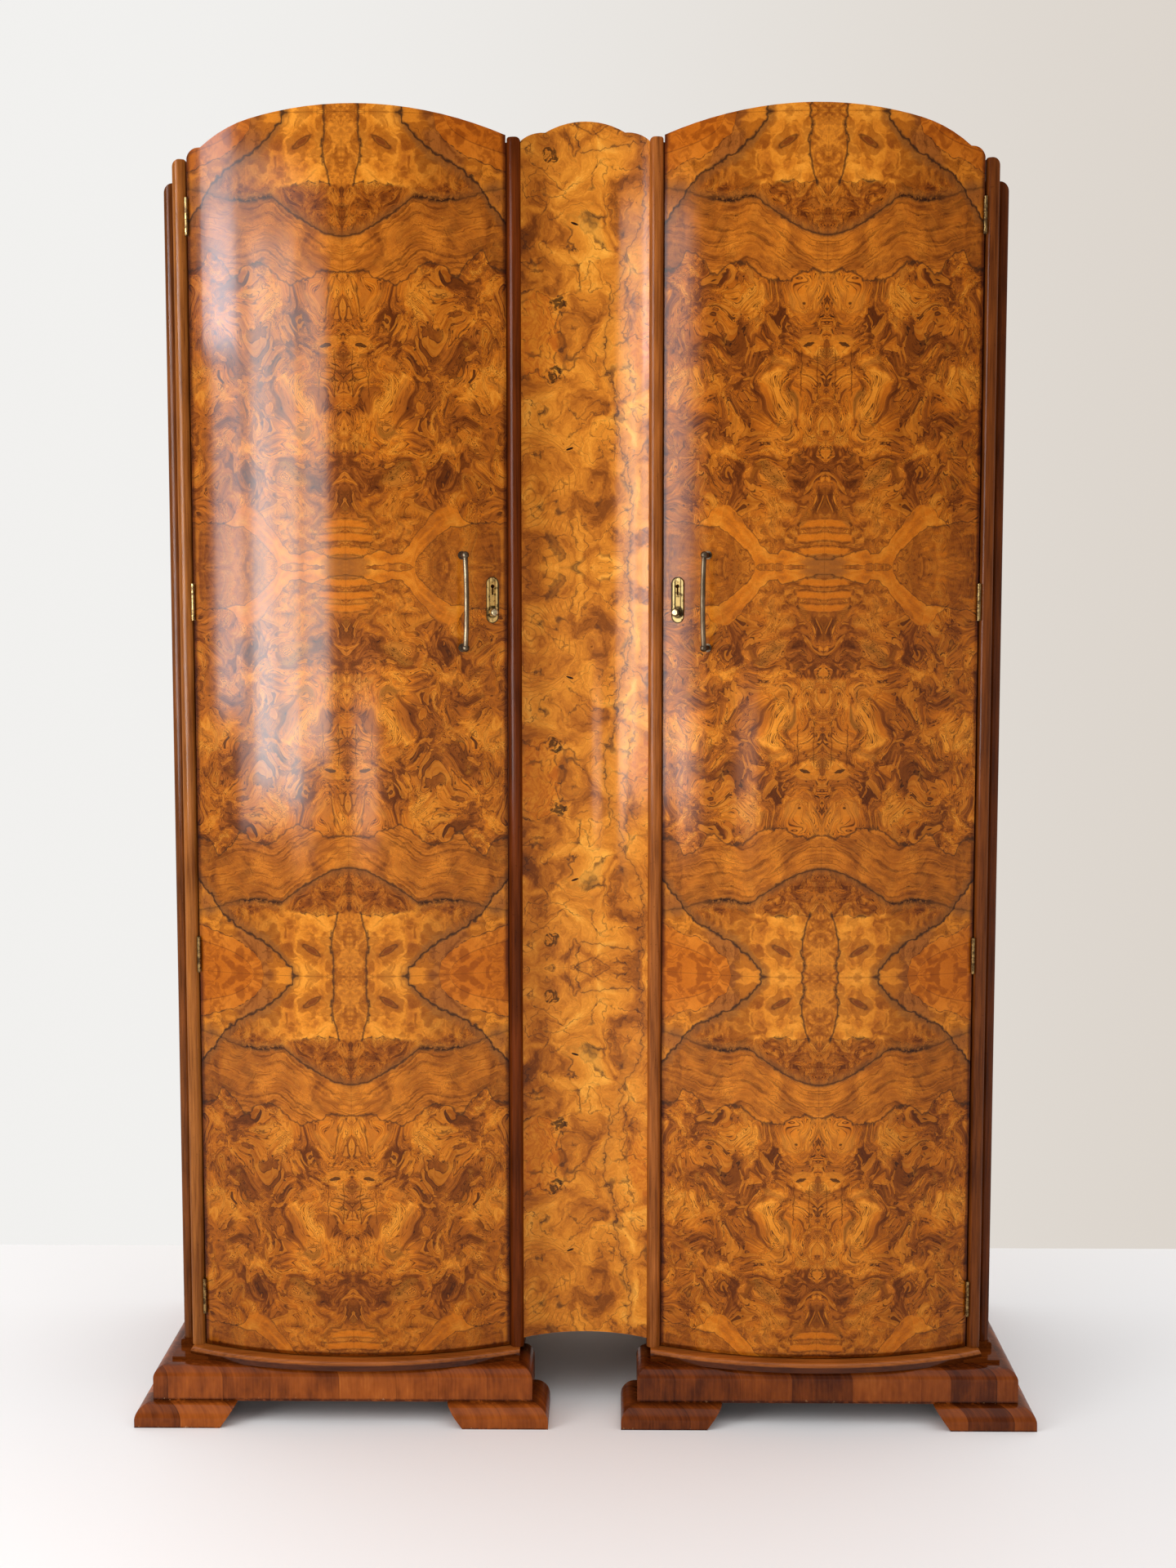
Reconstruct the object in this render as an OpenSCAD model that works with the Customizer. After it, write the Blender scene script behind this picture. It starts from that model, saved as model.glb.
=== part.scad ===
// Bow-fronted two-door wardrobe with a fixed concave centre panel on two plinths
// X is the width, Y the depth with the front at -Y, Z is up; the origin is the
// middle of the footprint on the floor. All sizes are in millimetres.

/* [Overall] */
// Height from the floor to the crown of the doors
overall_h = 1830; // [1650:1:2000]
// Depth from the front of the feet to the back panel
overall_d = 540; // [480:1:620]

/* [Doors] */
// Width of a door between its two edges
door_w = 438; // [400:1:480]
// Thickness of a door
door_t = 20; // [19:0.5:24]
// How far the middle of a door bows out in front of its edges
door_bow = 50; // [40:0.5:58]
// Distance of the door edges behind the front face of the plinth
door_set = 58; // [50:0.5:66]
// Gap under a door and beside its lock edge
door_gap = 1.5; // [1.2:0.1:2.5]
// Gap between a door and the post that carries it
hinge_gap = 2; // [1.8:0.1:2.4]
// Distance from the lock edge of a door to the crown of its arched top
crown_set = 201; // [190:1:212]
// Radius of the arched top near its crown
crown_r = 640; // [600:5:700]
// Distance from the crown to where the arch tightens
flank_set = 145; // [138:1:150]
// Radius of the tighter end of the arch
flank_r = 190; // [170:5:220]
// Width of the shoulder at the outer end of the arch
shoulder_w = 21; // [17:0.5:26]
// Radius of the shoulder
shoulder_r = 16; // [10:0.5:17]

/* [Centre panel] */
// Width of the concave panel
panel_w = 177; // [160:1:200]
// How far the middle of the panel lies behind its edges
panel_hollow = 27; // [20:0.5:32]
// Thickness of the panel
panel_t = 12; // [9:0.5:15]
// Distance of the panel edges behind the door edges
panel_set = 2; // [0:0.5:6]
// Height of the bottom of the panel above the floor of the wardrobe's base
panel_lift = 11; // [6:0.5:14]
// Depth of the panel's crown below the crowns of the doors
panel_drop = 8.5; // [4:0.5:20]
// Half the width of the arch on the panel
arch_half = 55; // [45:0.5:65]
// Rise of that arch
arch_rise = 17; // [12:0.5:24]
// Fall of the panel's shoulders from the arch to the edges
fall_h = 14.5; // [10:0.5:20]

/* [Uprights] */
// Width of the half round beads beside the centre panel
bead_w = 19; // [16:0.5:24]
// Depth of the bead tops below the crowns
bead_drop = 36; // [28:1:50]
// Width of the round-fronted posts that carry the doors
post_w = 19; // [16:0.5:24]
// Depth of the post tops below the crowns
post_drop = 64; // [56:1:80]
// Distance of the front of a post in front of the door edges
post_proud = 4; // [2:0.5:6]
// Thickness of the side panels
side_t = 17.5; // [14:0.5:21]
// Depth of the side panel tops below the crowns
side_drop = 91; // [84:1:110]
// Distance of the side panels behind the front of the posts
side_set = 28; // [22:1:40]
// Depth from front to back of the frame of posts and rails behind the doors
frame_d = 72; // [66:1:84]
// Overlap of the stiles behind the lock edges of the doors
stop_w = 15; // [12:0.5:20]

/* [Plinth] */
// Height of the feet
foot_h = 31; // [26:0.5:38]
// Distance of the feet in front of the rails
foot_proud = 23; // [20:0.5:28]
// Radius of the rounding on the feet
foot_round = 21; // [14:0.5:23]
// Thickness of a foot
foot_t = 48; // [42:1:58]
// Length of a foot along the floor
foot_l = 121; // [100:1:140]
// Lean of the end of a foot over its height
foot_slant = 22; // [14:1:30]
// Length of the inner side of a front foot
foot_return = 109; // [95:1:118]
// Height of the plinth rails
rail_h = 48; // [40:0.5:58]
// Thickness of the plinth rails
rail_t = 36; // [34:0.5:44]
// Radius of the rounding along the top of the rails
rail_round = 16; // [10:0.5:20]
// Length of the moulded return on the inner side of a plinth
rail_return = 104; // [94:1:116]
// Distance between the two plinths at their rails
plinth_gap = 149; // [136:1:160]
// Distance of the plinth's outer side beyond the side panel
rail_proud = 27.5; // [26:0.5:34]
// Thickness of the plain rails at the back and inside of a plinth
plain_rail_t = 22; // [18:0.5:28]
// Thickness of the step board on the plinth
step_t = 4; // [3:0.5:7]
// Distance of the step board behind the front of the rails
step_set = 33; // [24:0.5:33]
// Distance of the step board inside the outer side of the rails
step_side_set = 21; // [18:0.5:26]
// Thickness of the base board above the step board
base_t = 9.5; // [8:0.5:14]
// Distance of the tower's inner side outside the edge of the centre panel
tower_set = 5.5; // [2:0.5:12]
// Distance of the bow moulding in front of the door
mould_proud = 20; // [14:0.5:24]
// Width of the bow moulding from front to back
mould_w = 24; // [22:0.5:30]
// Radius on the top edge of the bow moulding
mould_round = 6; // [3:0.5:8]
// Distance of the side moulding outside the side panel
side_mould_proud = 3; // [2:0.5:5]
// Side of the corner blocks inside the plinths
block_w = 40; // [30:1:55]

/* [Carcass] */
// Thickness of the top and bottom boards
board_t = 14; // [12:0.5:18]
// Height of the rails over and under the centre panel and over the doors
cross_rail_h = 34; // [28:1:44]
// Thickness of the back panel
back_t = 8; // [6:0.5:12]
// Height of the underside of the hat shelf above the floor
shelf_z = 1450; // [1350:5:1550]
// Thickness of the hat shelf
shelf_t = 16; // [12:0.5:20]
// Distance of the hat shelf behind the frame
shelf_set = 20; // [10:1:60]
// Side of the square bearers under the shelf
bearer_w = 20; // [15:0.5:28]
// Diameter of the hanging rail
rail_dia = 25; // [20:0.5:30]
// Wall of the hanging rail
rail_wall = 1.5; // [1:0.1:3]
// Distance from the underside of the shelf to the middle of the hanging rail
rail_drop = 55; // [45:1:75]
// Depth of the sockets that hold the hanging rail
socket_l = 12; // [8:0.5:18]
// Wall of those sockets
socket_wall = 3; // [2:0.5:4]
// Thickness of the strap that carries the middle of the hanging rail
strap_t = 4; // [3:0.5:6]
// Width of that strap
strap_w = 20; // [16:1:24]

/* [Hinges] */
// Length of a hinge
hinge_l = 51; // [44:1:60]
// Width of a hinge leaf from the pin
leaf_w = 16; // [14:0.5:18]
// Thickness of a hinge leaf
leaf_t = 1.5; // [1.2:0.1:1.7]
// Radius of a hinge pin
hinge_pin_r = 1.2; // [1:0.05:1.4]
// Height of the lowest hinge above the bottom of the door
hinge_low = 71; // [60:1:120]
// Distance between the lower hinges
hinge_pitch = 498; // [470:1:510]
// Depth of the highest hinge below the crown of the door
hinge_drop = 141; // [130:1:180]
// Distance of the pins in front of the door edges
pin_set = 2.7; // [2.5:0.1:3]

/* [Lock and handle] */
// Height of the middle of the key plate above the floor
lock_z = 1164; // [1100:1:1220]
// Distance of the key plate from the lock edge of the door
lock_set = 20; // [18:0.5:22]
// Height of the key plate
plate_h = 64; // [58:0.5:72]
// Width of the key plate
plate_w = 18; // [16:0.5:20]
// Thickness of the key plate
plate_t = 1.4; // [1:0.1:2]
// Height of the ribs on the key plate
rib_t = 1.3; // [0.8:0.1:2]
// Width of a rib
rib_w = 5; // [4:0.25:6]
// Height of the keyhole above the middle of the key plate
key_z = 19; // [17:0.5:21]
// Radius of the round part of the keyhole
key_r = 2.8; // [2.2:0.1:3.2]
// Width of the slot of the keyhole
key_slot_w = 2.6; // [2:0.1:3.2]
// Length of the keyhole slot below the middle of the round part
key_slot_l = 12; // [9:0.5:14]
// Depth of the turn knob below the middle of the key plate
knob_z = 17; // [16:0.5:18]
// Radius of the turn knob
knob_r = 5.2; // [4.5:0.1:6]
// Distance that the turn knob stands in front of the door
knob_l = 12; // [10:0.5:16]
// Radius of the knob's spindle
spindle_r = 2.5; // [2:0.1:3]
// Travel of the two bolts
bolt_throw = 8; // [6:0.5:9]
// Thickness of a bolt
bolt_t = 5; // [4:0.25:5.5]
// Height of a bolt
bolt_h = 10; // [8:0.5:11]
// Width of the lock case
case_w = 42; // [41:0.5:46]
// Height of the lock case
case_h = 62; // [58:0.5:70]
// Wall of the lock case
case_wall = 1.2; // [0.8:0.1:1.6]
// Depth of wood between the face of the door and the lock case
case_set = 8; // [7:0.25:8.5]
// Thickness of the lock's cover plate
cover_t = 1.5; // [1:0.1:2]
// Length of the cover plate above and below the case
cover_lug = 10; // [8:0.5:14]
// Distance of the handle's feet from the lock edge of the door
handle_set = 61; // [56:1:72]
// Height of the middle of the handle above the floor
handle_z = 1162; // [1100:1:1220]
// Length of the handle
handle_l = 138; // [110:1:160]
// Radius of the handle's bar
bar_r = 3.4; // [2.8:0.1:4]
// Distance of the ends of the bar from the face of the door
bar_off = 19; // [16:0.5:26]
// How far the bar bows out between its ends
bar_bow = 6.5; // [4:0.5:10]
// Radius of the domed bosses at the ends of the bar
boss_r = 5.2; // [4.4:0.1:6.4]
// Radius of the posts under the bosses
post_r = 3.6; // [3:0.1:4.2]
// Radius of the roses on the door
rose_r = 5.75; // [4.75:0.25:7.5]
// Thickness of the roses
rose_t = 1.6; // [1:0.2:3]

/* [Hidden] */
$fn = 96;

LEFT = -1;
RIGHT = 1;

// Running gap of a pin or spindle in its hole
run_gap = 0.05;
// Gap round a fitting that is let into wood
let_in = 0.2;
// Gap round a bolt in its slots and pockets
bolt_gap = 0.5;
// Gap between an opening door and the boards behind it
swing_gap = 0.6;
// Cutting tools reach this far past what they cut
past = 1;

burr = "#b8702f";
walnut = "#7a4426";
softwood = "#c9a877";
brass = "#b89a5a";
aged_brass = "#7d6a4e";
steel = "#8d8f92";

// Heights of the layers from the floor up
z_rail = foot_h + rail_h;
z_step = z_rail + step_t;
z_base = z_step + base_t;
z_door = z_base + door_gap;
z_floor = z_base + board_t;
z_panel = z_base + panel_lift;
z_post = overall_h - post_drop;
z_bead = overall_h - bead_drop;
z_top = overall_h - side_drop;
z_cross = z_top - cross_rail_h;
z_hang = shelf_z - rail_drop;

// Places across the width, for the right half
x_stile = panel_w / 2;
x_bead = x_stile + bead_w;
x_door0 = x_bead + door_gap;
x_door1 = x_door0 + door_w;
x_mid = (x_door0 + x_door1) / 2;
x_post = x_door1 + hinge_gap;
x_side = x_post + post_w;
x_out = x_side + side_t;
x_stop = x_door0 + stop_w;
x_tower = x_stile + tower_set;
x_rail0 = plinth_gap / 2;
x_rail1 = x_out + rail_proud;
x_foot0 = x_rail0 - foot_proud;
x_foot1 = x_rail1 + foot_proud;
x_step = x_rail1 - step_side_set;

// Places from front to back
y_front = -overall_d / 2;
y_back = overall_d / 2;
y_rail = y_front + foot_proud;
y_edge = y_rail + door_set;
y_post = y_edge - post_proud;
y_frame = y_post + frame_d + post_proud;
y_side = y_post + side_set;
y_step = y_rail + step_set;
y_inside = y_back - back_t;
y_hang = (y_frame + y_inside) / 2;

// The bow of the doors: face radius, the middle of its circle and the angle to an edge
door_r = (pow(door_w / 2, 2) + pow(door_bow, 2)) / (2 * door_bow);
y_mid = y_edge - door_bow + door_r;
edge_a = asin(door_w / 2 / door_r);
// The hollow of the centre panel
hollow_r = (pow(panel_w / 2, 2) + pow(panel_hollow, 2)) / (2 * panel_hollow);
y_hollow = y_edge + panel_set + panel_hollow - hollow_r;
// The back corner of a door at its hinges: angle round the bow and distance from the pins
back_a = asin(door_w / 2 / (door_r - door_t));
swing_r = y_mid - (door_r - door_t) * cos(back_a) - y_edge + pin_set;
// Radius of the boards and rails behind a closed door, which that corner swings clear of
stop_r = door_r - door_t - swing_r * (1 - cos(back_a)) - swing_gap;
// Radii of the bow moulding
mould_r1 = door_r + mould_proud;
mould_r0 = mould_r1 - mould_w;

// The arched top of a door, from the crown outwards
crown_x = x_door0 + crown_set;
flank_a = asin(flank_set / crown_r);
flank_x = crown_x + (crown_r - flank_r) * sin(flank_a);
flank_z = overall_h - crown_r + (crown_r - flank_r) * cos(flank_a);
notch_x = x_door1 - shoulder_w;
notch_z = flank_z + sqrt(pow(flank_r, 2) - pow(notch_x - flank_x, 2));
// The edge of the door cuts the curve of the shoulder off this far from its end
shoulder_cut = 0.3;
// The arched top of the centre panel
z_arch = overall_h - panel_drop;
arch_r = (pow(arch_half, 2) + pow(arch_rise, 2)) / (2 * arch_rise);
fall_w = x_stile - arch_half;
fall_r = (pow(fall_w, 2) + pow(fall_h, 2)) / (2 * fall_h);
fall_z = z_arch - arch_rise;

// Hinges
x_pin = x_door1 + hinge_gap / 2;
y_pin = y_edge - pin_set;
knuckle_r = hinge_gap / 2 + leaf_t;
knuckle_n = 5;
knuckle_gap = 0.15;
hinge_low_z = z_door + hinge_low;
hinge_zs = [hinge_low_z, hinge_low_z + hinge_pitch, hinge_low_z + 2 * hinge_pitch,
            overall_h - hinge_drop];
screw_r = 1.5;
screw_head_r = 2.8;
screw_l = 13;
leaf_screw_y = y_pin + leaf_w * 0.62;
leaf_screw_dz = hinge_l * 0.3;

// Lock and handle: angles round the bow, then the lock's own places
lock_a = asin((x_mid - x_door0 - lock_set) / door_r);
handle_a = asin((x_mid - x_door0 - handle_set) / door_r);
// Reach of the door beyond the middle of the lock, on its face
lock_edge = door_r * sin(edge_a - lock_a);
// The case runs from just inside the lock edge
case_x0 = 4.8 - lock_edge;
case_x1 = case_x0 + case_w;
case_y1 = door_t - cover_t;
bolt_y = case_y1 - bolt_gap - bolt_t;
bolt_tip = 1.4 - lock_edge;
bolt_tail = case_x1 - case_wall - bolt_gap;
// The crank turns a quarter, half on each side of upright
crank_r = bolt_throw / 2 / sin(45);
crank_pin_r = 1.2;
crank_slot_w = 2 * crank_pin_r + 0.6;
latch_z = -knob_z + crank_r - 0.7;
dead_z = key_z - key_slot_l - bolt_h / 2 + 2;
stump_r = 1.8;
stump_x = crank_r * sin(45) + crank_slot_w / 2 + 1.2 + stump_r + bolt_gap;
follower_r = crank_r + crank_pin_r + 0.8;
follower_t = 3;
follower_y = bolt_y - 0.3 - follower_t;
cover_screw_x = case_w / 2 - 5;
cover_screw_z = case_h / 2 + cover_lug / 2;
strike_t = 1.4;
strike_w = 14;
// Reach of the strike plate past the middles of the bolts, and of its screws
strike_over = 16;
strike_screw_dz = 12;

module on_side(side) {
    mirror([side == LEFT ? 1 : 0, 0, 0]) children();
}

// Children lie on the door's face: +X towards the hinges, +Y into the door, Z from z
module on_door(angle, z) {
    translate([x_mid - door_r * sin(angle), y_mid - door_r * cos(angle), z])
        rotate([0, 0, -angle])
            children();
}

// An outline in X and Z made a solid from y0 to y1
module upright(y0, y1) {
    translate([0, y1, 0])
        rotate([90, 0, 0])
            linear_extrude(y1 - y0)
                children();
}

module block(low, high) {
    translate(low) cube(high - low);
}

module rod_y(r, y0, y1) {
    translate([0, y0, 0]) rotate([-90, 0, 0]) cylinder(r = r, h = y1 - y0);
}

module quarter(r) {
    intersection() {
        circle(r);
        square(r);
    }
}

// A panel from x0 to x1 and z0 to z1 whose top corners have the radii r0 and r1
module round_top(x0, x1, z0, z1, r0, r1) {
    translate([x0 + r0, z0]) square([x1 - x0 - r0 - r1, z1 - z0]);
    if (r0 > 0) {
        translate([x0, z0]) square([r0, z1 - z0 - r0]);
        translate([x0 + r0, z1 - r0]) mirror([1, 0]) quarter(r0);
    }
    if (r1 > 0) {
        translate([x1 - r1, z0]) square([r1, z1 - z0 - r1]);
        translate([x1 - r1, z1 - r1]) quarter(r1);
    }
}

// A strip in plan with a half round front
module round_front(x0, x1, y0, y1) {
    r = (x1 - x0) / 2;
    translate([x0 + r, y0 + r]) circle(r);
    translate([x0, y0 + r]) square([x1 - x0, y1 - y0 - r]);
}

// The plan between two radii of the bow, from x0 to x1 and no further back than y1
module bow_plan(r0, r1, x0, x1, y1) {
    intersection() {
        difference() {
            translate([x_mid, y_mid]) circle(r1, $fn = 360);
            if (r0 > 0) translate([x_mid, y_mid]) circle(r0, $fn = 360);
        }
        translate([x0, y_front - mould_r1]) square([x1 - x0, y1 - y_front + mould_r1]);
    }
}

// Carcass

module side_panel(side) {
    color(walnut)
        on_side(side)
            intersection() {
                translate([0, 0, z_base])
                    linear_extrude(z_top - z_base)
                        round_front(x_side, x_out, y_side, y_back);
                upright(y_side - past, y_back + past)
                    round_top(x_side, x_out, z_base - past, z_top, past, side_t - 2);
            }
}

module post(side) {
    color(walnut)
        on_side(side)
            difference() {
                intersection() {
                    translate([0, 0, z_base])
                        linear_extrude(z_post - z_base)
                            round_front(x_post, x_side, y_post, y_frame);
                    upright(y_post - past, y_frame + past)
                        round_top(x_post, x_side, z_base - past, z_post, 2, post_w - 7);
                }
                for (z = hinge_zs)
                    block([x_post - past, y_post - past, z - hinge_l / 2 - let_in],
                          [x_post + leaf_t, y_pin + leaf_w + let_in, z + hinge_l / 2 + let_in]);
                leaf_screw_holes(x_post, 1);
            }
}

module stile(side) {
    slope = tan(edge_a);
    face_y = y_edge + panel_set;
    stop_y = y_edge + door_t * cos(edge_a) + door_gap;
    color(walnut)
        on_side(side)
            difference() {
                translate([0, 0, z_base])
                    linear_extrude(z_bead - z_base - 6)
                        polygon([[x_stile, face_y],
                                 [x_bead + slope * panel_set, face_y],
                                 [x_bead + slope * (stop_y - y_edge), stop_y],
                                 [x_stop, stop_y],
                                 [x_stop, y_frame],
                                 [x_stile, y_frame]]);
                strike_recess();
                on_door(lock_a, lock_z) {
                    bolt_pocket(latch_z);
                    bolt_pocket(dead_z);
                }
                strike_screw_sites() rod_x(screw_r + run_gap, screw_l + let_in);
            }
}

module bead(side) {
    color(walnut)
        on_side(side)
            intersection() {
                translate([0, 0, z_base])
                    linear_extrude(z_bead - z_base)
                        round_front(x_stile, x_bead, y_edge + panel_set - bead_w / 2, y_edge + bead_w);
                upright(y_edge - bead_w, y_edge + panel_set)
                    round_top(x_stile, x_bead, z_base - past, z_bead, 6, 3);
            }
}

module panel_outline() {
    intersection() {
        translate([0, z_arch - arch_r]) circle(arch_r, $fn = 240);
        translate([-arch_half - past, fall_z - 2 * past])
            square([2 * (arch_half + past), arch_rise + 3 * past]);
    }
    for (s = [LEFT, RIGHT])
        intersection() {
            translate([s * arch_half, fall_z - fall_r]) circle(fall_r, $fn = 180);
            translate([s > 0 ? 0 : -x_stile, fall_z - fall_h - past])
                square([x_stile, fall_h + 2 * past]);
        }
    translate([-arch_half, z_panel]) square([2 * arch_half, fall_z - past - z_panel]);
    translate([-x_stile, z_panel]) square([2 * x_stile, fall_z - fall_h - z_panel]);
}

module hollow_plan(r0, r1) {
    intersection() {
        translate([0, y_hollow])
            difference() {
                circle(r1, $fn = 240);
                if (r0 > 0) circle(r0, $fn = 240);
            }
        translate([-x_stile, y_edge]) square([2 * x_stile, frame_d]);
    }
}

module centre_panel() {
    color(burr)
        intersection() {
            linear_extrude(overall_h) hollow_plan(hollow_r, hollow_r + panel_t);
            upright(y_edge - past, y_frame + past) panel_outline();
        }
}

module centre_rails() {
    color(softwood)
        for (z = [z_panel, z_cross])
            translate([0, 0, z])
                linear_extrude(cross_rail_h)
                    difference() {
                        translate([-x_stile, y_edge + panel_set])
                            square([2 * x_stile, y_frame - y_edge - panel_set]);
                        hollow_plan(0, hollow_r + panel_t);
                    }
}

module head_rail(side) {
    color(softwood)
        on_side(side)
            translate([0, 0, z_cross])
                linear_extrude(cross_rail_h)
                    bow_plan(0, stop_r, x_stop, x_post, y_frame);
}

module top_board() {
    color(walnut)
        block([-x_side, y_frame, z_top - board_t], [x_side, y_inside, z_top]);
}

module bottom_board() {
    color(softwood)
        translate([0, 0, z_base])
            linear_extrude(board_t) {
                translate([-x_side, y_frame]) square([2 * x_side, y_inside - y_frame]);
                for (m = [0, 1])
                    mirror([m, 0])
                        bow_plan(0, stop_r, x_stop, x_post, y_frame + past);
            }
}

module back_panel() {
    color(softwood)
        block([-x_side, y_inside, z_base], [x_side, y_back, z_top]);
}

// Base and plinths

module base_board(side) {
    color(walnut)
        on_side(side)
            translate([0, 0, z_step])
                linear_extrude(base_t)
                    bow_plan(0, mould_r0, x_tower, x_side, y_back);
}

// A ring with a rounded front, cut off square inside and rounded at its outer end
module bow_moulding(side) {
    color(walnut)
        on_side(side)
            difference() {
                intersection() {
                    translate([x_mid, y_mid, z_rail])
                        rotate_extrude($fn = 360)
                            round_top(mould_r0, mould_r1, 0, z_base - z_rail, 0, mould_round);
                    upright(y_front - mould_r1, y_edge + mould_w * 2)
                        round_top(x_tower, x_side, z_rail - past, z_base, 0, mould_round);
                }
                block([x_tower - past, y_step, z_rail - past], [x_side + past, y_back, z_step]);
            }
}

module side_moulding(side) {
    h = z_base - z_step;
    w = side_t + side_mould_proud;
    color(walnut)
        on_side(side)
            translate([x_side, y_side - side_mould_proud, z_step])
                translate([0, y_back - y_side + side_mould_proud, 0])
                    rotate([90, 0, 0])
                        linear_extrude(y_back - y_side + side_mould_proud)
                            round_top(0, w, 0, h, 0, side_mould_proud);
}

module step_board(side) {
    color(walnut)
        on_side(side)
            block([x_tower, y_step, z_rail], [x_step, y_back, z_step]);
}

// The end view of a board whose top front edge is rounded
module ovolo(t, h, r) {
    square([t, h - r]);
    translate([r, 0]) square([t - r, h]);
    translate([r, h - r]) circle(r);
}

// A moulded board along +X with its face at y = 0 and mitred ends where m0 or m1 is 1
module moulded_board(l, t, h, r, m0, m1) {
    intersection() {
        rotate([90, 0, 90]) linear_extrude(l) ovolo(t, h, r);
        linear_extrude(h) polygon([[0, 0], [l, 0], [l - m1 * t, t], [m0 * t, t]]);
    }
}

module plinth_rails(side) {
    color(walnut)
        on_side(side) {
            translate([x_rail0, y_rail, foot_h])
                moulded_board(x_rail1 - x_rail0, rail_t, rail_h, rail_round, 1, 1);
            translate([x_rail1, y_rail, foot_h])
                rotate([0, 0, 90])
                    moulded_board(y_back - y_rail, rail_t, rail_h, rail_round, 1, 0);
            translate([x_rail0, y_rail + rail_return, foot_h])
                rotate([0, 0, -90])
                    moulded_board(rail_return, rail_t, rail_h, rail_round, 0, 1);
            block([x_tower, y_rail + rail_return, foot_h],
                  [x_tower + plain_rail_t, y_back, z_rail]);
            block([x_tower + plain_rail_t, y_back - plain_rail_t, foot_h],
                  [x_rail1 - rail_t, y_back, z_rail]);
        }
}

// One arm of a bracket foot along +X from the corner, with its face at y = 0
module foot_arm(l, slant, mitre) {
    end = l + slant;
    intersection() {
        rotate([90, 0, 90]) linear_extrude(end) ovolo(foot_t, foot_h, foot_round);
        upright(0, foot_t) polygon([[0, 0], [l, 0], [end, foot_h], [0, foot_h]]);
        linear_extrude(foot_h)
            polygon([[0, 0], [end, 0], [end, foot_t], [mitre * foot_t, foot_t]]);
    }
}

module feet(side) {
    color(walnut)
        on_side(side) {
            translate([x_foot1, y_front, 0]) {
                mirror([1, 0, 0]) foot_arm(foot_l, foot_slant, 1);
                rotate([0, 0, 90]) foot_arm(foot_l, foot_slant, 1);
            }
            translate([x_foot0, y_front, 0]) {
                foot_arm(foot_l, foot_slant, 1);
                mirror([1, 0, 0]) rotate([0, 0, 90]) foot_arm(foot_return, 0, 1);
            }
            translate([x_foot1, y_back, 0])
                mirror([0, 1, 0])
                    rotate([0, 0, 90])
                        foot_arm(foot_l, foot_slant, 0);
            block([x_foot1 - foot_t - foot_l / 2, y_back - plain_rail_t, 0],
                  [x_foot1 - foot_t, y_back, foot_h]);
            block([x_tower, y_back - foot_t, 0], [x_tower + foot_l, y_back, foot_h]);
        }
}

module corner_block() {
    linear_extrude(rail_h) polygon([[0, 0], [block_w, 0], [0, block_w]]);
}

module plinth_blocks() {
    x0 = x_rail0 + rail_t;
    x1 = x_rail1 - rail_t;
    xb = x_tower + plain_rail_t;
    y0 = y_rail + rail_t;
    y1 = y_back - plain_rail_t;
    color(softwood)
        for (m = [0, 1])
            mirror([m, 0, 0]) {
                translate([x0, y0, foot_h]) corner_block();
                translate([x1, y0, foot_h]) mirror([1, 0, 0]) corner_block();
                translate([x1, y1, foot_h]) mirror([1, 0, 0]) mirror([0, 1, 0]) corner_block();
                translate([xb, y1, foot_h]) mirror([0, 1, 0]) corner_block();
            }
}

// Inside

module hat_shelf() {
    color(softwood)
        block([-x_side, y_frame + shelf_set, shelf_z], [x_side, y_inside, shelf_z + shelf_t]);
}

module shelf_bearers() {
    color(softwood) {
        for (m = [0, 1])
            mirror([m, 0, 0])
                block([x_side - bearer_w, y_frame + shelf_set, shelf_z - bearer_w],
                      [x_side, y_inside, shelf_z]);
        block([bearer_w - x_side, y_inside - bearer_w, shelf_z - bearer_w],
              [x_side - bearer_w, y_inside, shelf_z]);
    }
}

module rod_x(r, l) {
    rotate([0, 90, 0]) cylinder(r = r, h = l);
}

module hanging_rail() {
    reach = x_side - 2;
    color(brass)
        translate([-reach, y_hang, z_hang])
            difference() {
                rod_x(rail_dia / 2, 2 * reach);
                translate([-past, 0, 0]) rod_x(rail_dia / 2 - rail_wall, 2 * (reach + past));
            }
}

module rail_sockets() {
    cup_r = rail_dia / 2 + run_gap + socket_wall;
    color(aged_brass)
        for (m = [0, 1])
            mirror([m, 0, 0])
                translate([x_side, y_hang, z_hang])
                    difference() {
                        union() {
                            translate([-socket_l, 0, 0]) rod_x(cup_r, socket_l);
                            translate([-1.8, 0, 0]) rod_x(cup_r + 7, 1.8);
                        }
                        translate([-socket_l - past, 0, 0])
                            rod_x(rail_dia / 2 + run_gap, socket_l);
                    }
}

module rail_strap() {
    ring_r = rail_dia / 2 + run_gap + socket_wall;
    color(aged_brass)
        translate([-strap_t / 2, y_hang, z_hang])
            difference() {
                union() {
                    rod_x(ring_r, strap_t);
                    block([0, -strap_w / 2, 0], [strap_t, strap_w / 2, rail_drop]);
                    block([-strap_w, -strap_w / 2, rail_drop - strap_t],
                          [strap_w + strap_t, strap_w / 2, rail_drop]);
                }
                translate([-past, 0, 0]) rod_x(rail_dia / 2 + run_gap, strap_t + 2 * past);
            }
}

// Hinges

// The middle of each screw of a row of leaves at x, with its shank towards dir
module leaf_screw_sites(x, dir) {
    for (z = hinge_zs)
        for (dz = [-leaf_screw_dz, leaf_screw_dz])
            translate([x, leaf_screw_y, z + dz])
                mirror([dir > 0 ? 0 : 1, 0, 0])
                    children();
}

module leaf_screw_holes(x, dir) {
    leaf_screw_sites(x, dir)
        translate([-past, 0, 0])
            rod_x(screw_r + run_gap, screw_l + past + let_in);
}

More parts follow.
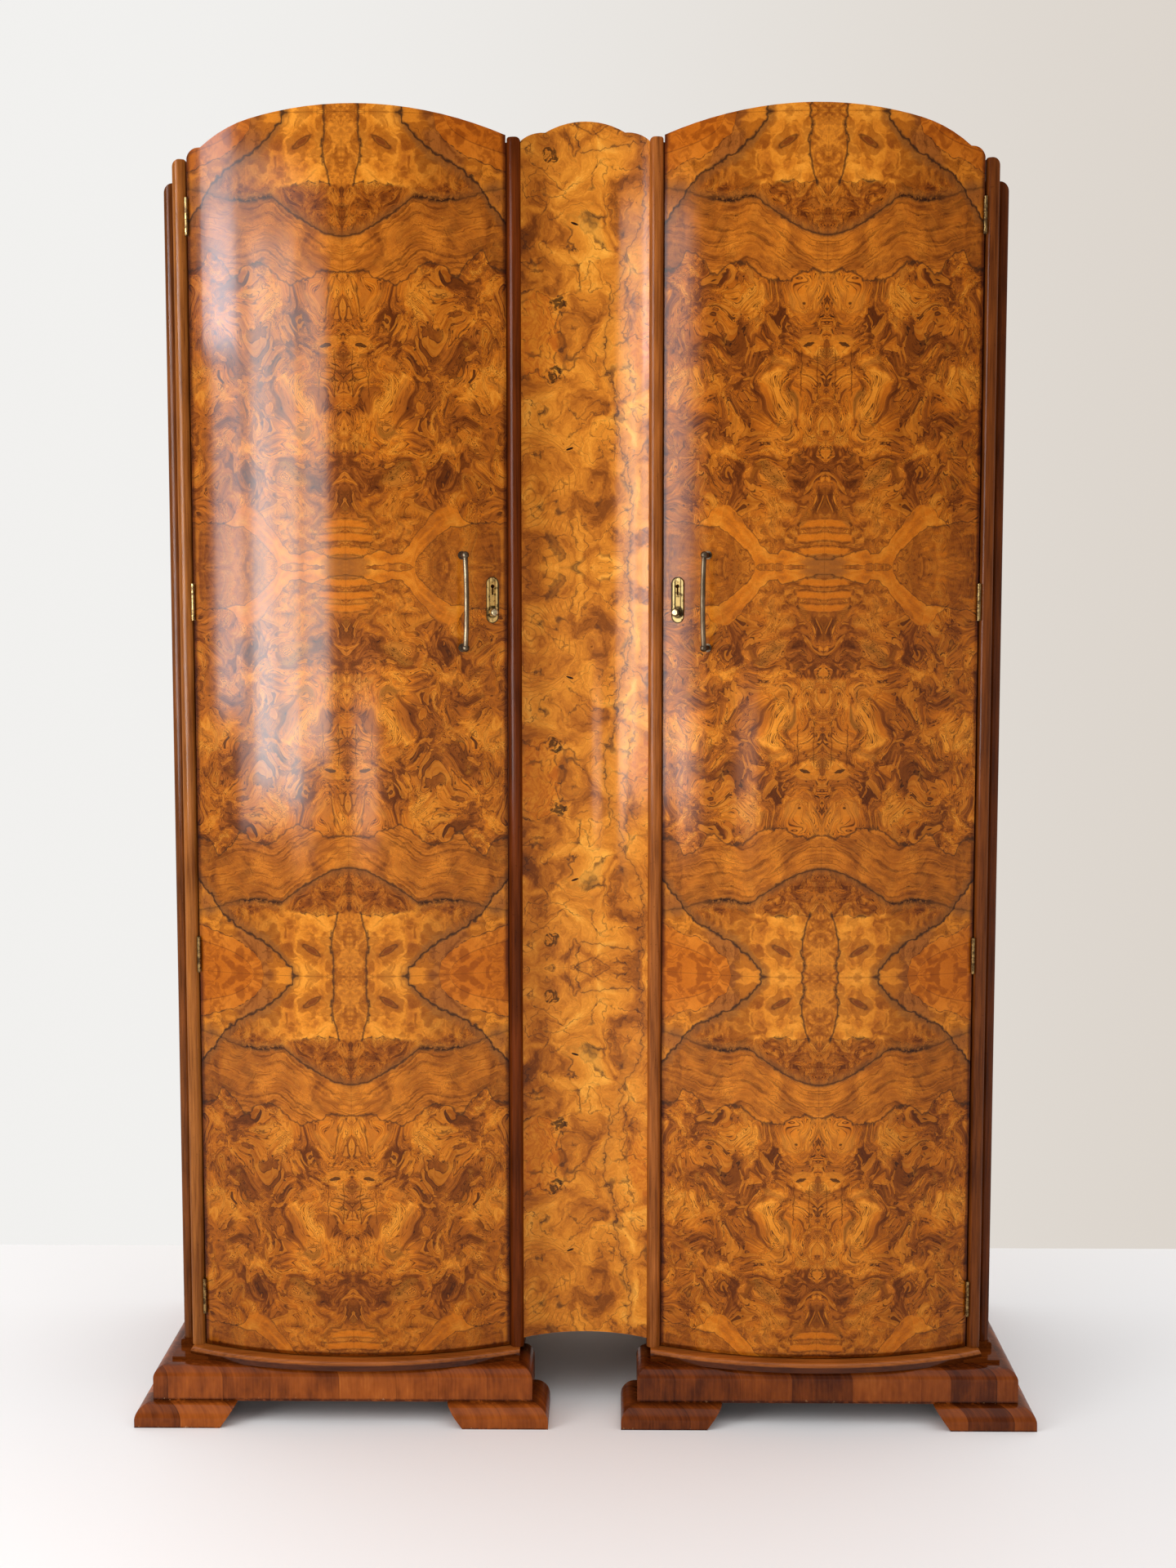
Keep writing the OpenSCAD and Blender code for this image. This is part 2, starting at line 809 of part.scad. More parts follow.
// A countersunk screw along +X with the top of its head at x = 0
module wood_screw(extra) {
    head_l = screw_head_r - screw_r;
    rotate([0, 90, 0]) {
        cylinder(r1 = screw_head_r + extra, r2 = screw_r + extra, h = head_l);
        cylinder(r = screw_r + extra, h = screw_l);
    }
}

// A leaf at x towards dir, whose knuckles are the even or odd ones of the five
module hinge_leaf(x, dir, first) {
    seg = hinge_l / knuckle_n;
    x0 = dir > 0 ? x : x - leaf_t;
    difference() {
        union() {
            block([x0, y_pin + knuckle_r + let_in, -hinge_l / 2],
                  [x0 + leaf_t, y_pin + leaf_w, hinge_l / 2]);
            for (i = [first : 2 : knuckle_n - 1]) {
                z0 = -hinge_l / 2 + i * seg + knuckle_gap;
                translate([x_pin, y_pin, z0]) cylinder(r = knuckle_r, h = seg - 2 * knuckle_gap);
                block([x0, y_pin, z0],
                      [x0 + leaf_t, y_pin + knuckle_r + 2 * let_in, z0 + seg - 2 * knuckle_gap]);
            }
        }
        translate([x_pin, y_pin, -hinge_l / 2 - past])
            cylinder(r = hinge_pin_r + run_gap, h = hinge_l + 2 * past);
        for (dz = [-leaf_screw_dz, leaf_screw_dz])
            translate([x, leaf_screw_y, dz])
                mirror([dir > 0 ? 0 : 1, 0, 0])
                    wood_screw(run_gap);
    }
}

module frame_hinge_leaves() {
    color(brass)
        for (side = [LEFT, RIGHT])
            on_side(side)
                for (z = hinge_zs)
                    translate([0, 0, z]) hinge_leaf(x_post, 1, 0);
}

module door_hinge_leaves(side) {
    color(brass)
        on_side(side)
            for (z = hinge_zs)
                translate([0, 0, z]) hinge_leaf(x_door1, -1, 1);
}

module hinge_pins() {
    color(brass)
        for (side = [LEFT, RIGHT])
            on_side(side)
                for (z = hinge_zs)
                    translate([x_pin, y_pin, z - hinge_l / 2]) cylinder(r = hinge_pin_r, h = hinge_l);
}

module frame_screws() {
    color(brass)
        for (side = [LEFT, RIGHT])
            on_side(side) {
                leaf_screw_sites(x_post, 1) wood_screw(0);
                strike_screw_sites() wood_screw(0);
            }
}

// Doors

module door_outline() {
    turn_x = crown_x + flank_set;
    translate([x_door0 - past, z_door]) square([notch_x - x_door0 + past, z_cross - z_door]);
    intersection() {
        translate([crown_x, overall_h - crown_r]) circle(crown_r, $fn = 360);
        translate([x_door0 - past, z_cross]) square([turn_x - x_door0 + past, overall_h - z_cross + past]);
    }
    intersection() {
        translate([flank_x, flank_z]) circle(flank_r, $fn = 240);
        translate([turn_x, z_cross]) square([notch_x - turn_x, overall_h - z_cross]);
    }
    intersection() {
        round_top(notch_x, x_door1 + shoulder_cut, z_door, notch_z, 0, shoulder_r);
        translate([notch_x, z_door]) square([shoulder_w, overall_h - z_door]);
    }
}

// The bowed plan: square at the hinges and at right angles to the face at the lock
module door_plan() {
    far = 4 * door_t;
    difference() {
        bow_plan(door_r - door_t, door_r, x_door0 - past, x_door1, y_mid - door_r / 2);
        translate([x_door0, y_edge])
            rotate(-edge_a)
                translate([-far, -far])
                    square([far, 2 * far]);
    }
}

module door(side) {
    color(burr)
        on_side(side)
            difference() {
                intersection() {
                    linear_extrude(overall_h) door_plan();
                    upright(y_front, y_frame) door_outline();
                }
                for (z = hinge_zs)
                    block([x_door1 - leaf_t, y_front, z - hinge_l / 2 - let_in],
                          [x_door1 + past, y_pin + leaf_w + let_in, z + hinge_l / 2 + let_in]);
                leaf_screw_holes(x_door1, -1);
                on_door(lock_a, lock_z) lock_mortise();
                on_door(handle_a, handle_z)
                    for (s = [-1, 1])
                        translate([0, 0, s * foot_dz]) {
                            rod_y(screw_r + run_gap, -past, door_t + past);
                            rod_y(screw_head_r + run_gap, door_t - 2, door_t + past);
                        }
            }
}

// What the lock, its spindle and its key need cut from the door
module lock_mortise() {
    block([case_x0 - let_in, case_set, -case_h / 2 - let_in],
          [case_x1 + let_in, door_t + 2 * past, case_h / 2 + let_in]);
    block([case_x0 - let_in, case_y1, -case_h / 2 - cover_lug - let_in],
          [case_x1 + let_in, door_t + 2 * past, case_h / 2 + cover_lug + let_in]);
    translate([0, 0, -knob_z]) rod_y(spindle_r + 2 * let_in, -past, case_set + past);
    keyhole(let_in, case_set + past);
    for (z = [latch_z, dead_z])
        block([-lock_edge - 3, bolt_y - let_in, z - bolt_h / 2 - let_in],
              [case_x0, bolt_y + bolt_t + let_in, z + bolt_h / 2 + let_in]);
    cover_screw_sites() rod_y(screw_r + run_gap, -screw_l - let_in, past);
    plate_pin_sites() rod_y(pin_nail_r + run_gap, -past, pin_nail_l + let_in);
}

module keyhole(extra, depth) {
    translate([0, 0, key_z]) rod_y(key_r + extra, -plate_t - rib_t - past, depth);
    block([-key_slot_w / 2 - extra, -plate_t - rib_t - past, key_z - key_slot_l - extra],
          [key_slot_w / 2 + extra, depth, key_z]);
}

// Key plate: a round-ended plate with two ribs and a round seat for the knob
pin_nail_r = 0.6;
pin_nail_l = 6;
pin_nail_z = plate_h / 2 - 3;
rib_step = 3;
seat_r = plate_w / 2 - 0.6;

module plate_pin_sites() {
    for (z = [pin_nail_z, -pin_nail_z])
        translate([0, 0, z]) children();
}

module stadium(w, h) {
    r = w / 2;
    translate([0, h / 2 - r]) circle(r);
    translate([0, r - h / 2]) circle(r);
    translate([-r, r - h / 2]) square([w, h - w]);
}

module key_plate(side) {
    top = plate_h / 2 - rib_w / 2 - 1.5;
    low = -knob_z;
    color(brass)
        on_side(side)
            on_door(lock_a, lock_z)
                difference() {
                    union() {
                        upright(-plate_t, 0) stadium(plate_w, plate_h);
                        for (s = [-1, 1])
                            translate([s * (plate_w - rib_w) / 2, 0, 0])
                                upright(-plate_t - rib_t, -plate_t)
                                    round_top(-rib_w / 2, rib_w / 2, low, top - (s < 0 ? rib_step : 0),
                                              rib_w / 2 - 0.2, rib_w / 2 - 0.2);
                        translate([0, 0, -knob_z]) rod_y(seat_r, -plate_t - rib_t, -plate_t);
                    }
                    keyhole(0, past);
                    translate([0, 0, -knob_z])
                        rod_y(spindle_r + run_gap, -plate_t - rib_t - past, past);
                    plate_pin_sites() rod_y(pin_nail_r + run_gap, -plate_t - past, past);
                }
}

// Handle: a round bar bowed outwards between two domed bosses on short posts
foot_dz = handle_l / 2 - boss_r;
bow_r = (pow(foot_dz, 2) + pow(bar_bow, 2)) / (2 * bar_bow);
bow_a = asin(foot_dz / bow_r);
handle_screw_in = 9;

module handle(side) {
    color(aged_brass)
        on_side(side)
            on_door(handle_a, handle_z)
                difference() {
                    union() {
                        translate([0, bow_r - bar_bow - bar_off, 0])
                            rotate([0, 90, 0])
                                rotate([0, 0, -90 - bow_a])
                                    rotate_extrude(angle = 2 * bow_a, $fn = 720)
                                        translate([bow_r, 0]) circle(bar_r, $fn = 48);
                        for (s = [-1, 1])
                            translate([0, 0, s * foot_dz]) {
                                translate([0, -bar_off, 0]) sphere(boss_r);
                                rod_y(post_r, -bar_off, 0);
                                rod_y(rose_r, -rose_t, 0);
                            }
                    }
                    for (s = [-1, 1])
                        translate([0, 0, s * foot_dz]) rod_y(screw_r + run_gap, -handle_screw_in, past);
                }
}

// Lock: every piece lies in the frame of on_door(lock_a, lock_z)

module lock_case(side) {
    half = case_h / 2;
    color(steel)
        on_side(side)
            on_door(lock_a, lock_z) {
                difference() {
                    block([case_x0, case_set, -half], [case_x1, case_y1, half]);
                    block([case_x0 + case_wall, case_set + case_wall, case_wall - half],
                          [case_x1 - case_wall, case_y1 + past, half - case_wall]);
                    for (z = [latch_z, dead_z])
                        block([case_x0 - past, bolt_y - let_in, z - bolt_h / 2 - let_in],
                              [case_x0 + case_wall + past, bolt_y + bolt_t + let_in,
                               z + bolt_h / 2 + let_in]);
                    translate([0, 0, -knob_z]) rod_y(spindle_r + run_gap, 0, door_t);
                    keyhole(let_in, case_set + case_wall + past);
                }
                for (z = [latch_z, dead_z])
                    translate([stump_x, 0, z]) rod_y(stump_r, case_set + case_wall, case_y1);
            }
}

module cover_screw_sites() {
    for (sx = [-1, 1])
        for (sz = [-1, 1])
            translate([(case_x0 + case_x1) / 2 + sx * cover_screw_x, door_t, sz * cover_screw_z])
                children();
}

module lock_cover(side) {
    half = case_h / 2 + cover_lug;
    color(steel)
        on_side(side)
            on_door(lock_a, lock_z)
                difference() {
                    block([case_x0, case_y1, -half], [case_x1, door_t, half]);
                    cover_screw_sites() rotate([0, 0, -90]) wood_screw(run_gap);
                }
}

// A bolt withdrawn at rest, with a slot round the stump that guides it
module bolt_bar(z) {
    difference() {
        block([bolt_tip, bolt_y, z - bolt_h / 2], [bolt_tail, bolt_y + bolt_t, z + bolt_h / 2]);
        block([stump_x, bolt_y - past, z - stump_r - let_in],
              [stump_x + bolt_throw, bolt_y + bolt_t + past, z + stump_r + let_in]);
        for (x = [stump_x, stump_x + bolt_throw])
            translate([x, 0, z]) rod_y(stump_r + let_in, bolt_y - past, bolt_y + bolt_t + past);
    }
}

module latch_bolt(side) {
    low = -knob_z + crank_r * cos(45) - crank_pin_r - 0.6;
    high = -knob_z + crank_r + crank_pin_r + 0.6;
    x = crank_r * sin(45);
    color(brass)
        on_side(side)
            on_door(lock_a, lock_z)
                difference() {
                    bolt_bar(latch_z);
                    block([x - crank_slot_w / 2, bolt_y - past, low],
                          [x + crank_slot_w / 2, bolt_y + bolt_t + past, high]);
                }
}

module dead_bolt(side) {
    color(brass)
        on_side(side)
            on_door(lock_a, lock_z)
                difference() {
                    bolt_bar(dead_z);
                    block([-key_slot_w, bolt_y - past, key_z - key_slot_l - let_in],
                          [key_slot_w, bolt_y + bolt_t + past, dead_z + bolt_h]);
                }
}

module turn_knob(side) {
    neck_l = 4;
    start = plate_t + rib_t + let_in;
    color(brass)
        on_side(side)
            on_door(lock_a, lock_z)
                translate([0, 0, -knob_z]) {
                    rod_y(spindle_r, -start - 1, follower_y + follower_t);
                    rotate([90, 0, 0])
                        rotate_extrude()
                            polygon([[0, start], [knob_r - 1.6, start], [knob_r - 1.6, start + 1.2],
                                     [knob_r - 2, start + neck_l - 1], [knob_r, start + neck_l + 0.4],
                                     [knob_r, knob_l - 1.6], [knob_r - 0.6, knob_l - 0.6],
                                     [knob_r - 1.6, knob_l], [0, knob_l]]);
                }
}

module follower(side) {
    color(steel)
        on_side(side)
            on_door(lock_a, lock_z)
                translate([0, 0, -knob_z]) {
                    difference() {
                        rod_y(follower_r, follower_y, follower_y + follower_t);
                        rod_y(spindle_r + run_gap, follower_y - past, follower_y + follower_t + past);
                    }
                    translate([crank_r * sin(45), 0, crank_r * cos(45)])
                        rod_y(crank_pin_r, follower_y + follower_t, bolt_y + bolt_t - 0.6);
                }
}

module door_screws(side) {
    color(brass)
        on_side(side) {
            leaf_screw_sites(x_door1, -1) wood_screw(0);
            on_door(handle_a, handle_z)
                for (s = [-1, 1])
                    translate([0, 0, s * foot_dz]) {
                        rod_y(screw_r, -handle_screw_in + let_in, door_t - 1);
                        rod_y(screw_head_r, door_t - 2, door_t);
                    }
            on_door(lock_a, lock_z) {
                cover_screw_sites() rotate([0, 0, -90]) wood_screw(0);
                plate_pin_sites() rod_y(pin_nail_r, -plate_t - 0.3, pin_nail_l);
            }
        }
}

// The strike plate and pockets in a stile, which face the lock edge of the door

module on_edge() {
    translate([x_door0, y_edge, lock_z]) rotate([0, 0, -edge_a]) children();
}

module strike_body(extra) {
    y0 = bolt_y + bolt_t / 2 - strike_w / 2;
    block([-door_gap - strike_t, y0 - extra, latch_z - strike_over - extra],
          [-door_gap, y0 + strike_w + extra, dead_z + strike_over + extra]);
}

module strike_recess() {
    on_edge() {
        strike_body(let_in);
        translate([past, 0, 0]) strike_body(let_in);
    }
}

module bolt_pocket(z) {
    block([bolt_tip - bolt_throw - bolt_gap, bolt_y - bolt_gap, z - bolt_h / 2 - bolt_gap],
          [bolt_tip, bolt_y + bolt_t + bolt_gap, z + bolt_h / 2 + bolt_gap]);
}

module strike_screw_sites() {
    on_edge()
        for (z = [latch_z - strike_screw_dz, dead_z + strike_screw_dz])
            translate([-door_gap, bolt_y + bolt_t / 2, z])
                mirror([1, 0, 0])
                    children();
}

module strike_plates() {
    color(brass)
        for (side = [LEFT, RIGHT])
            on_side(side)
                difference() {
                    on_edge() strike_body(0);
                    on_door(lock_a, lock_z) {
                        bolt_pocket(latch_z);
                        bolt_pocket(dead_z);
                    }
                    strike_screw_sites() wood_screw(run_gap);
                }
}

side_panel(LEFT);  // left_side_panel
side_panel(RIGHT);  // right_side_panel
post(LEFT);  // left_post
post(RIGHT);  // right_post
stile(LEFT);  // left_stile
stile(RIGHT);  // right_stile
bead(LEFT);  // left_bead
bead(RIGHT);  // right_bead
centre_panel();
centre_rails();
head_rail(LEFT);  // left_head_rail
head_rail(RIGHT);  // right_head_rail
top_board();
bottom_board();
back_panel();
base_board(LEFT);  // left_base_board
base_board(RIGHT);  // right_base_board
bow_moulding(LEFT);  // left_bow_moulding
bow_moulding(RIGHT);  // right_bow_moulding
side_moulding(LEFT);  // left_side_moulding
side_moulding(RIGHT);  // right_side_moulding
step_board(LEFT);  // left_step_board
step_board(RIGHT);  // right_step_board
plinth_rails(LEFT);  // left_plinth_rails
plinth_rails(RIGHT);  // right_plinth_rails
feet(LEFT);  // left_feet
feet(RIGHT);  // right_feet
plinth_blocks();
hat_shelf();
shelf_bearers();
hanging_rail();
rail_sockets();
rail_strap();
frame_hinge_leaves();
hinge_pins();
strike_plates();
frame_screws();
door(LEFT);  // left_door
door(RIGHT);  // right_door
handle(LEFT);  // left_handle
handle(RIGHT);  // right_handle
key_plate(LEFT);  // left_key_plate
key_plate(RIGHT);  // right_key_plate
lock_case(LEFT);  // left_lock_case
lock_case(RIGHT);  // right_lock_case
lock_cover(LEFT);  // left_lock_cover
lock_cover(RIGHT);  // right_lock_cover
door_hinge_leaves(LEFT);  // left_door_hinge_leaves
door_hinge_leaves(RIGHT);  // right_door_hinge_leaves
door_screws(LEFT);  // left_door_screws
door_screws(RIGHT);  // right_door_screws
turn_knob(LEFT);  // left_turn_knob
turn_knob(RIGHT);  // right_turn_knob
follower(LEFT);  // left_follower
follower(RIGHT);  // right_follower
latch_bolt(LEFT);  // left_latch_bolt
latch_bolt(RIGHT);  // right_latch_bolt
dead_bolt(LEFT);  // left_dead_bolt
dead_bolt(RIGHT);  // right_dead_bolt
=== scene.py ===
import math

import bmesh
import bpy
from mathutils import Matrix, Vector

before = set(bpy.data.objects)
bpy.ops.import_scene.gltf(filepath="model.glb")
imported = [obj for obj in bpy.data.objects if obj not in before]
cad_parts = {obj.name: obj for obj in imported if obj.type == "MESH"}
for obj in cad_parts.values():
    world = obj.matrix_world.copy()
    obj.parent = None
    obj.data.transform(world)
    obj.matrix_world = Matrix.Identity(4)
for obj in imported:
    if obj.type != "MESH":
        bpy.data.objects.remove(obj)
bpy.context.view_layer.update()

# Sizes and places shared with the solids, in millimetres
DOOR_MIDDLE = 328           # sideways from the wardrobe's middle
DOOR_EDGE = 226             # from a door's middle, round its bow
DOOR_FOOT = 94
BOW_RADIUS = 504.61
BOW_CENTRE_Y = 265.61
HOLLOW_RADIUS = 158.55
HOLLOW_CENTRE_Y = -318.55
FEET_TOP = 31
RAILS_TOP = 79
MOULDING_PAINTED_SHADE = 88.5        # top of the painted shade along a bow moulding's lower edge
HANDLE_Z = 1162
KEY_PLATE_X = 129
KEY_PLATE_Z = 1164
KEY_PLATE_STRAIGHT = 23     # half of its straight sides
KEY_PLATE_SLANT = 1.088     # its width over its width seen from the front
KNOB_Z = 1147
KNOB_RING = 6.6             # radius of the dark ring round a knob

# Veneer: leaves that are mirrored at every joint
SEAM_Z = 640                # the lower one of the two level joints
LEAF_HEIGHT = 569
LEAF_WIDTH = 250
TOP_STRETCH = 0.067         # of the leaves over the upper joint
SHOW_FACE = (1.6, 1.2)      # depth under the surface at which the veneer starts and is whole
BAND_PIECE = 74             # width of the short pieces on the plinths

INK = (0.026, 0.008, 0.003)
DEEP = (0.092, 0.020, 0.002)
BROWN = (0.225, 0.052, 0.005)
TAN = (0.41, 0.114, 0.010)
ORANGE = (0.66, 0.178, 0.007)
GOLD = (0.76, 0.255, 0.018)
PALE = (0.93, 0.360, 0.035)
SMOKE = (0.235, 0.084, 0.018)

# Outlines drawn on a leaf of burr: millimetres from the upright joint, then height over the level one
ARROW = ((0, 0), (74, 0), (90, 18), (106, 34), (118, 46), (149, 60), (180, 80), (215, 121), (250, 150))
SHORE = ((0, 0), (122, 0), (129, 20), (143, 36), (187, 56), (222, 66), (250, 74))
TIP = ((0, 0), (138, 0), (146, 14), (165, 27), (200, 38), (250, 46))
CHEVRON = ((0, 154), (20, 150), (60, 130), (85, 113), (100, 104), (130, 108), (160, 103), (200, 92), (250, 82))
BEARD = ((0, 200), (27, 198), (70, 212), (118, 186), (161, 198), (185, 170), (210, 190), (250, 180))
LOBES_TOP = 89
# The column's half width by height, and outlines that are measured down from the upper joint
COLUMN = ((0, 25), (20, 23), (40, 27), (62, 25), (75, 19), (92, 15), (250, 15))
LENS = ((0, 0), (90, 0), (95, 30), (98, 41), (113, 57), (136, 76), (160, 83), (250, 88))
DIAMOND = ((0, 11), (30, 16), (47, 22), (72, 19), (86, 29), (95, 40), (109, 56), (118, 70), (140, 79), (155, 74),
           (168, 60), (250, 40))
SPINDLE = ((0, 0), (22, 0), (34, 1.5), (60, 4), (84, 4.5), (95, 0), (250, 0))
# The long vein of the hollow panel: height over the joint, then millimetres left of the middle
VEIN = ((0, 76), (140, 76), (157, 62), (173, 52), (200, 51), (225, 38), (254, 32), (300, 27), (345, 42), (400, 48),
        (446, 62), (500, 66), (569, 60))

# Ovals on a leaf: middle across and up, half sizes, strength
BRIGHT_BURR = ((110, 224, 38, 30, 1.0), (185, 335, 52, 38, 1.0), (180, 262, 34, 26, 0.7), (20, 322, 24, 34, 1.0),
               (20, 395, 42, 24, 0.6), (70, 400, 26, 40, 0.7))
DARK_BURR = ((68, 276, 32, 46, 0.4), (112, 300, 20, 44, 1.0), (205, 400, 52, 40, 0.6), (150, 205, 60, 14, 1.0),
             (92, 455, 70, 44, 0.6), (215, 478, 62, 46, 0.7), (0, 500, 60, 40, 0.4))
ORANGE_PANEL = ((-68, 272, 34, 66, 1.0), (88, 285, 26, 50, 1.0))
PANEL_BLOTS = ((-42, 318, 11, 13, 1.0), (-38, 228, 15, 9, 1.0), (-50, 40, 14, 11, 1.0))


class Wire:
    """A number, colour or vector on its way through a finish, with ordinary arithmetic."""

    def __init__(self, finish, socket):
        self.finish = finish
        self.socket = socket

    def maths(self, operation, *others, clamp=False):
        return self.finish.node("ShaderNodeMath", {"operation": operation, "use_clamp": clamp},
                                dict(enumerate((self,) + others)))

    def __add__(self, other):
        return self.maths("ADD", other)

    def __radd__(self, other):
        return self.maths("ADD", other)

    def __sub__(self, other):
        return self.maths("SUBTRACT", other)

    def __rsub__(self, other):
        return self.finish.node("ShaderNodeMath", {"operation": "SUBTRACT"}, {0: other, 1: self})

    def __mul__(self, other):
        return self.maths("MULTIPLY", other)

    def __rmul__(self, other):
        return self.maths("MULTIPLY", other)

    def __truediv__(self, other):
        return self.maths("DIVIDE", other)

    def __abs__(self):
        return self.maths("ABSOLUTE")

    def __pow__(self, power):
        return self.maths("POWER", power)

    def clamp(self):
        return self.maths("ADD", 0.0, clamp=True)

    def sin(self):
        return self.maths("SINE")

    def over(self, low, high):
        """0 below low and 1 above high, with a soft step between; high below low turns it round."""
        return self.finish.node("ShaderNodeMapRange", {"interpolation_type": "SMOOTHSTEP"},
                                {"Value": self, "From Min": low, "From Max": high})

    def line(self, width):
        """1 where the value is nought, falling to 0 at width on both sides."""
        return (1.0 - abs(self) / width).clamp()

    def curve(self, points, reach=LEAF_WIDTH):
        """The height of a drawn curve at this value; points and reach are in the same unit."""
        curve = self.finish.node("ShaderNodeFloatCurve", {"curve": [(x / reach, y / reach) for x, y in points]},
                                 {"Value": (self / reach).clamp()})
        return curve * reach


def rgba(colour):
    return (*colour, 1) if isinstance(colour, tuple) else colour


class Graph:
    """A tree of shader nodes."""

    def __init__(self, tree):
        self.tree = tree
        tree.nodes.clear()

    def node(self, kind, settings=None, inputs=None, output=0):
        node = self.tree.nodes.new(kind)
        for name, value in (settings or {}).items():
            if name == "stops":
                stops = node.color_ramp.elements
                while len(stops) < len(value):
                    stops.new(0.5)
                for stop, (place, colour) in zip(stops, value):
                    stop.position = place
                    stop.color = rgba(colour)
            elif name == "curve":
                points = node.mapping.curves[0].points
                while len(points) < len(value):
                    points.new(0.5, 0.5)
                for point, place in zip(points, value):
                    point.location = place
                node.mapping.update()
            else:
                setattr(node, name, value)
        for name, value in (inputs or {}).items():
            if isinstance(value, Wire):
                self.tree.links.new(value.socket, node.inputs[name])
            else:
                node.inputs[name].default_value = value
        return Wire(self, node.outputs[output])

    def split(self, vector):
        """The three parts of a vector."""
        return [Wire(self, part) for part in
                self.node("ShaderNodeSeparateXYZ", inputs={0: vector}).socket.node.outputs]

    def place(self):
        """Object coordinates in millimetres as three values."""
        return [part * 1000 for part in self.split(self.node("ShaderNodeTexCoord", output="Object"))]

    def point(self, x, y, z=0.0):
        return self.node("ShaderNodeCombineXYZ", inputs={0: x, 1: y, 2: z})

    def drawn_out(self, where, along, share):
        """A point at which a pattern is drawn out along one axis, 0, 1 or 2."""
        return self.point(*[part * share if axis == along else part for axis, part in enumerate(where)])

    def noise(self, where, size, detail=2.0, rough=0.5, bend=0.0):
        return self.node("ShaderNodeTexNoise", inputs={"Vector": where, "Scale": 1 / size, "Detail": detail,
                                                       "Roughness": rough, "Distortion": bend})

    def shifts(self, where, size, reach, detail=1.0):
        """Two values that wander between -reach and reach."""
        cloud = self.node("ShaderNodeTexNoise", inputs={"Vector": where, "Scale": 1 / size, "Detail": detail},
                          output="Color")
        return [(part - 0.5) * (4 * reach) for part in self.split(cloud)[:2]]

    def cells(self, where, size):
        """Distance to the nearest one of many scattered points."""
        return self.node("ShaderNodeTexVoronoi", inputs={"Vector": where, "Scale": 1 / size}, output="Distance")

    def ramp(self, value, *stops):
        return self.node("ShaderNodeValToRGB", {"stops": stops}, {0: value})

    def mix(self, share, first, second):
        return self.node("ShaderNodeMix", {"data_type": "RGBA"}, {0: share, 6: rgba(first), 7: rgba(second)}, 2)

    def tint(self, colour, share, tone):
        """The colour multiplied by tone where share is 1."""
        return self.node("ShaderNodeMix", {"data_type": "RGBA", "blend_type": "MULTIPLY"},
                         {0: share, 6: colour, 7: rgba(tone)}, 2)


class Finish(Graph):
    """A material on the principled shader."""

    def __init__(self, name, **constants):
        self.material = bpy.data.materials.new(name)
        self.material.use_nodes = True
        super().__init__(self.material.node_tree)
        self.shader = self.tree.nodes.new("ShaderNodeBsdfPrincipled")
        output = self.tree.nodes.new("ShaderNodeOutputMaterial")
        self.tree.links.new(self.shader.outputs[0], output.inputs["Surface"])
        for name, value in constants.items():
            self.socket(name).default_value = value

    def socket(self, name):
        return self.shader.inputs[name.replace("_", " ").title().replace("Ior", "IOR")]

    def feed(self, **wires):
        for name, wire in wires.items():
            self.tree.links.new(wire.socket, self.socket(name))

    def bump(self, height, distance):
        self.feed(normal=self.node("ShaderNodeBump", inputs={"Height": height, "Distance": distance}))

    def wear(self, *nodes):
        for name in nodes:
            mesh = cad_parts[name].data
            mesh.materials.clear()
            mesh.materials.append(self.material)


def polished(name, roughness, polish, gloss):
    """A wood under clear polish: polish is how much shows, gloss how rough it is."""
    return Finish(name, roughness=roughness, specular_ior_level=0.0, coat_weight=polish, coat_roughness=gloss,
                  coat_ior=1.5)


def distance(a, b):
    return (a * a + b * b) ** 0.5


def patch(u, v, middle_u, middle_v, half_u, half_v):
    """1 in the middle of an oval, falling to 0 at its edge."""
    du = (u - middle_u) / half_u
    dv = (v - middle_v) / half_v
    return (1.0 - (du * du + dv * dv)).clamp()


def patches(u, v, ovals):
    total = 0.0
    for *oval, strength in ovals:
        total = total + patch(u, v, *oval) * strength
    return total


# Burr walnut of the doors

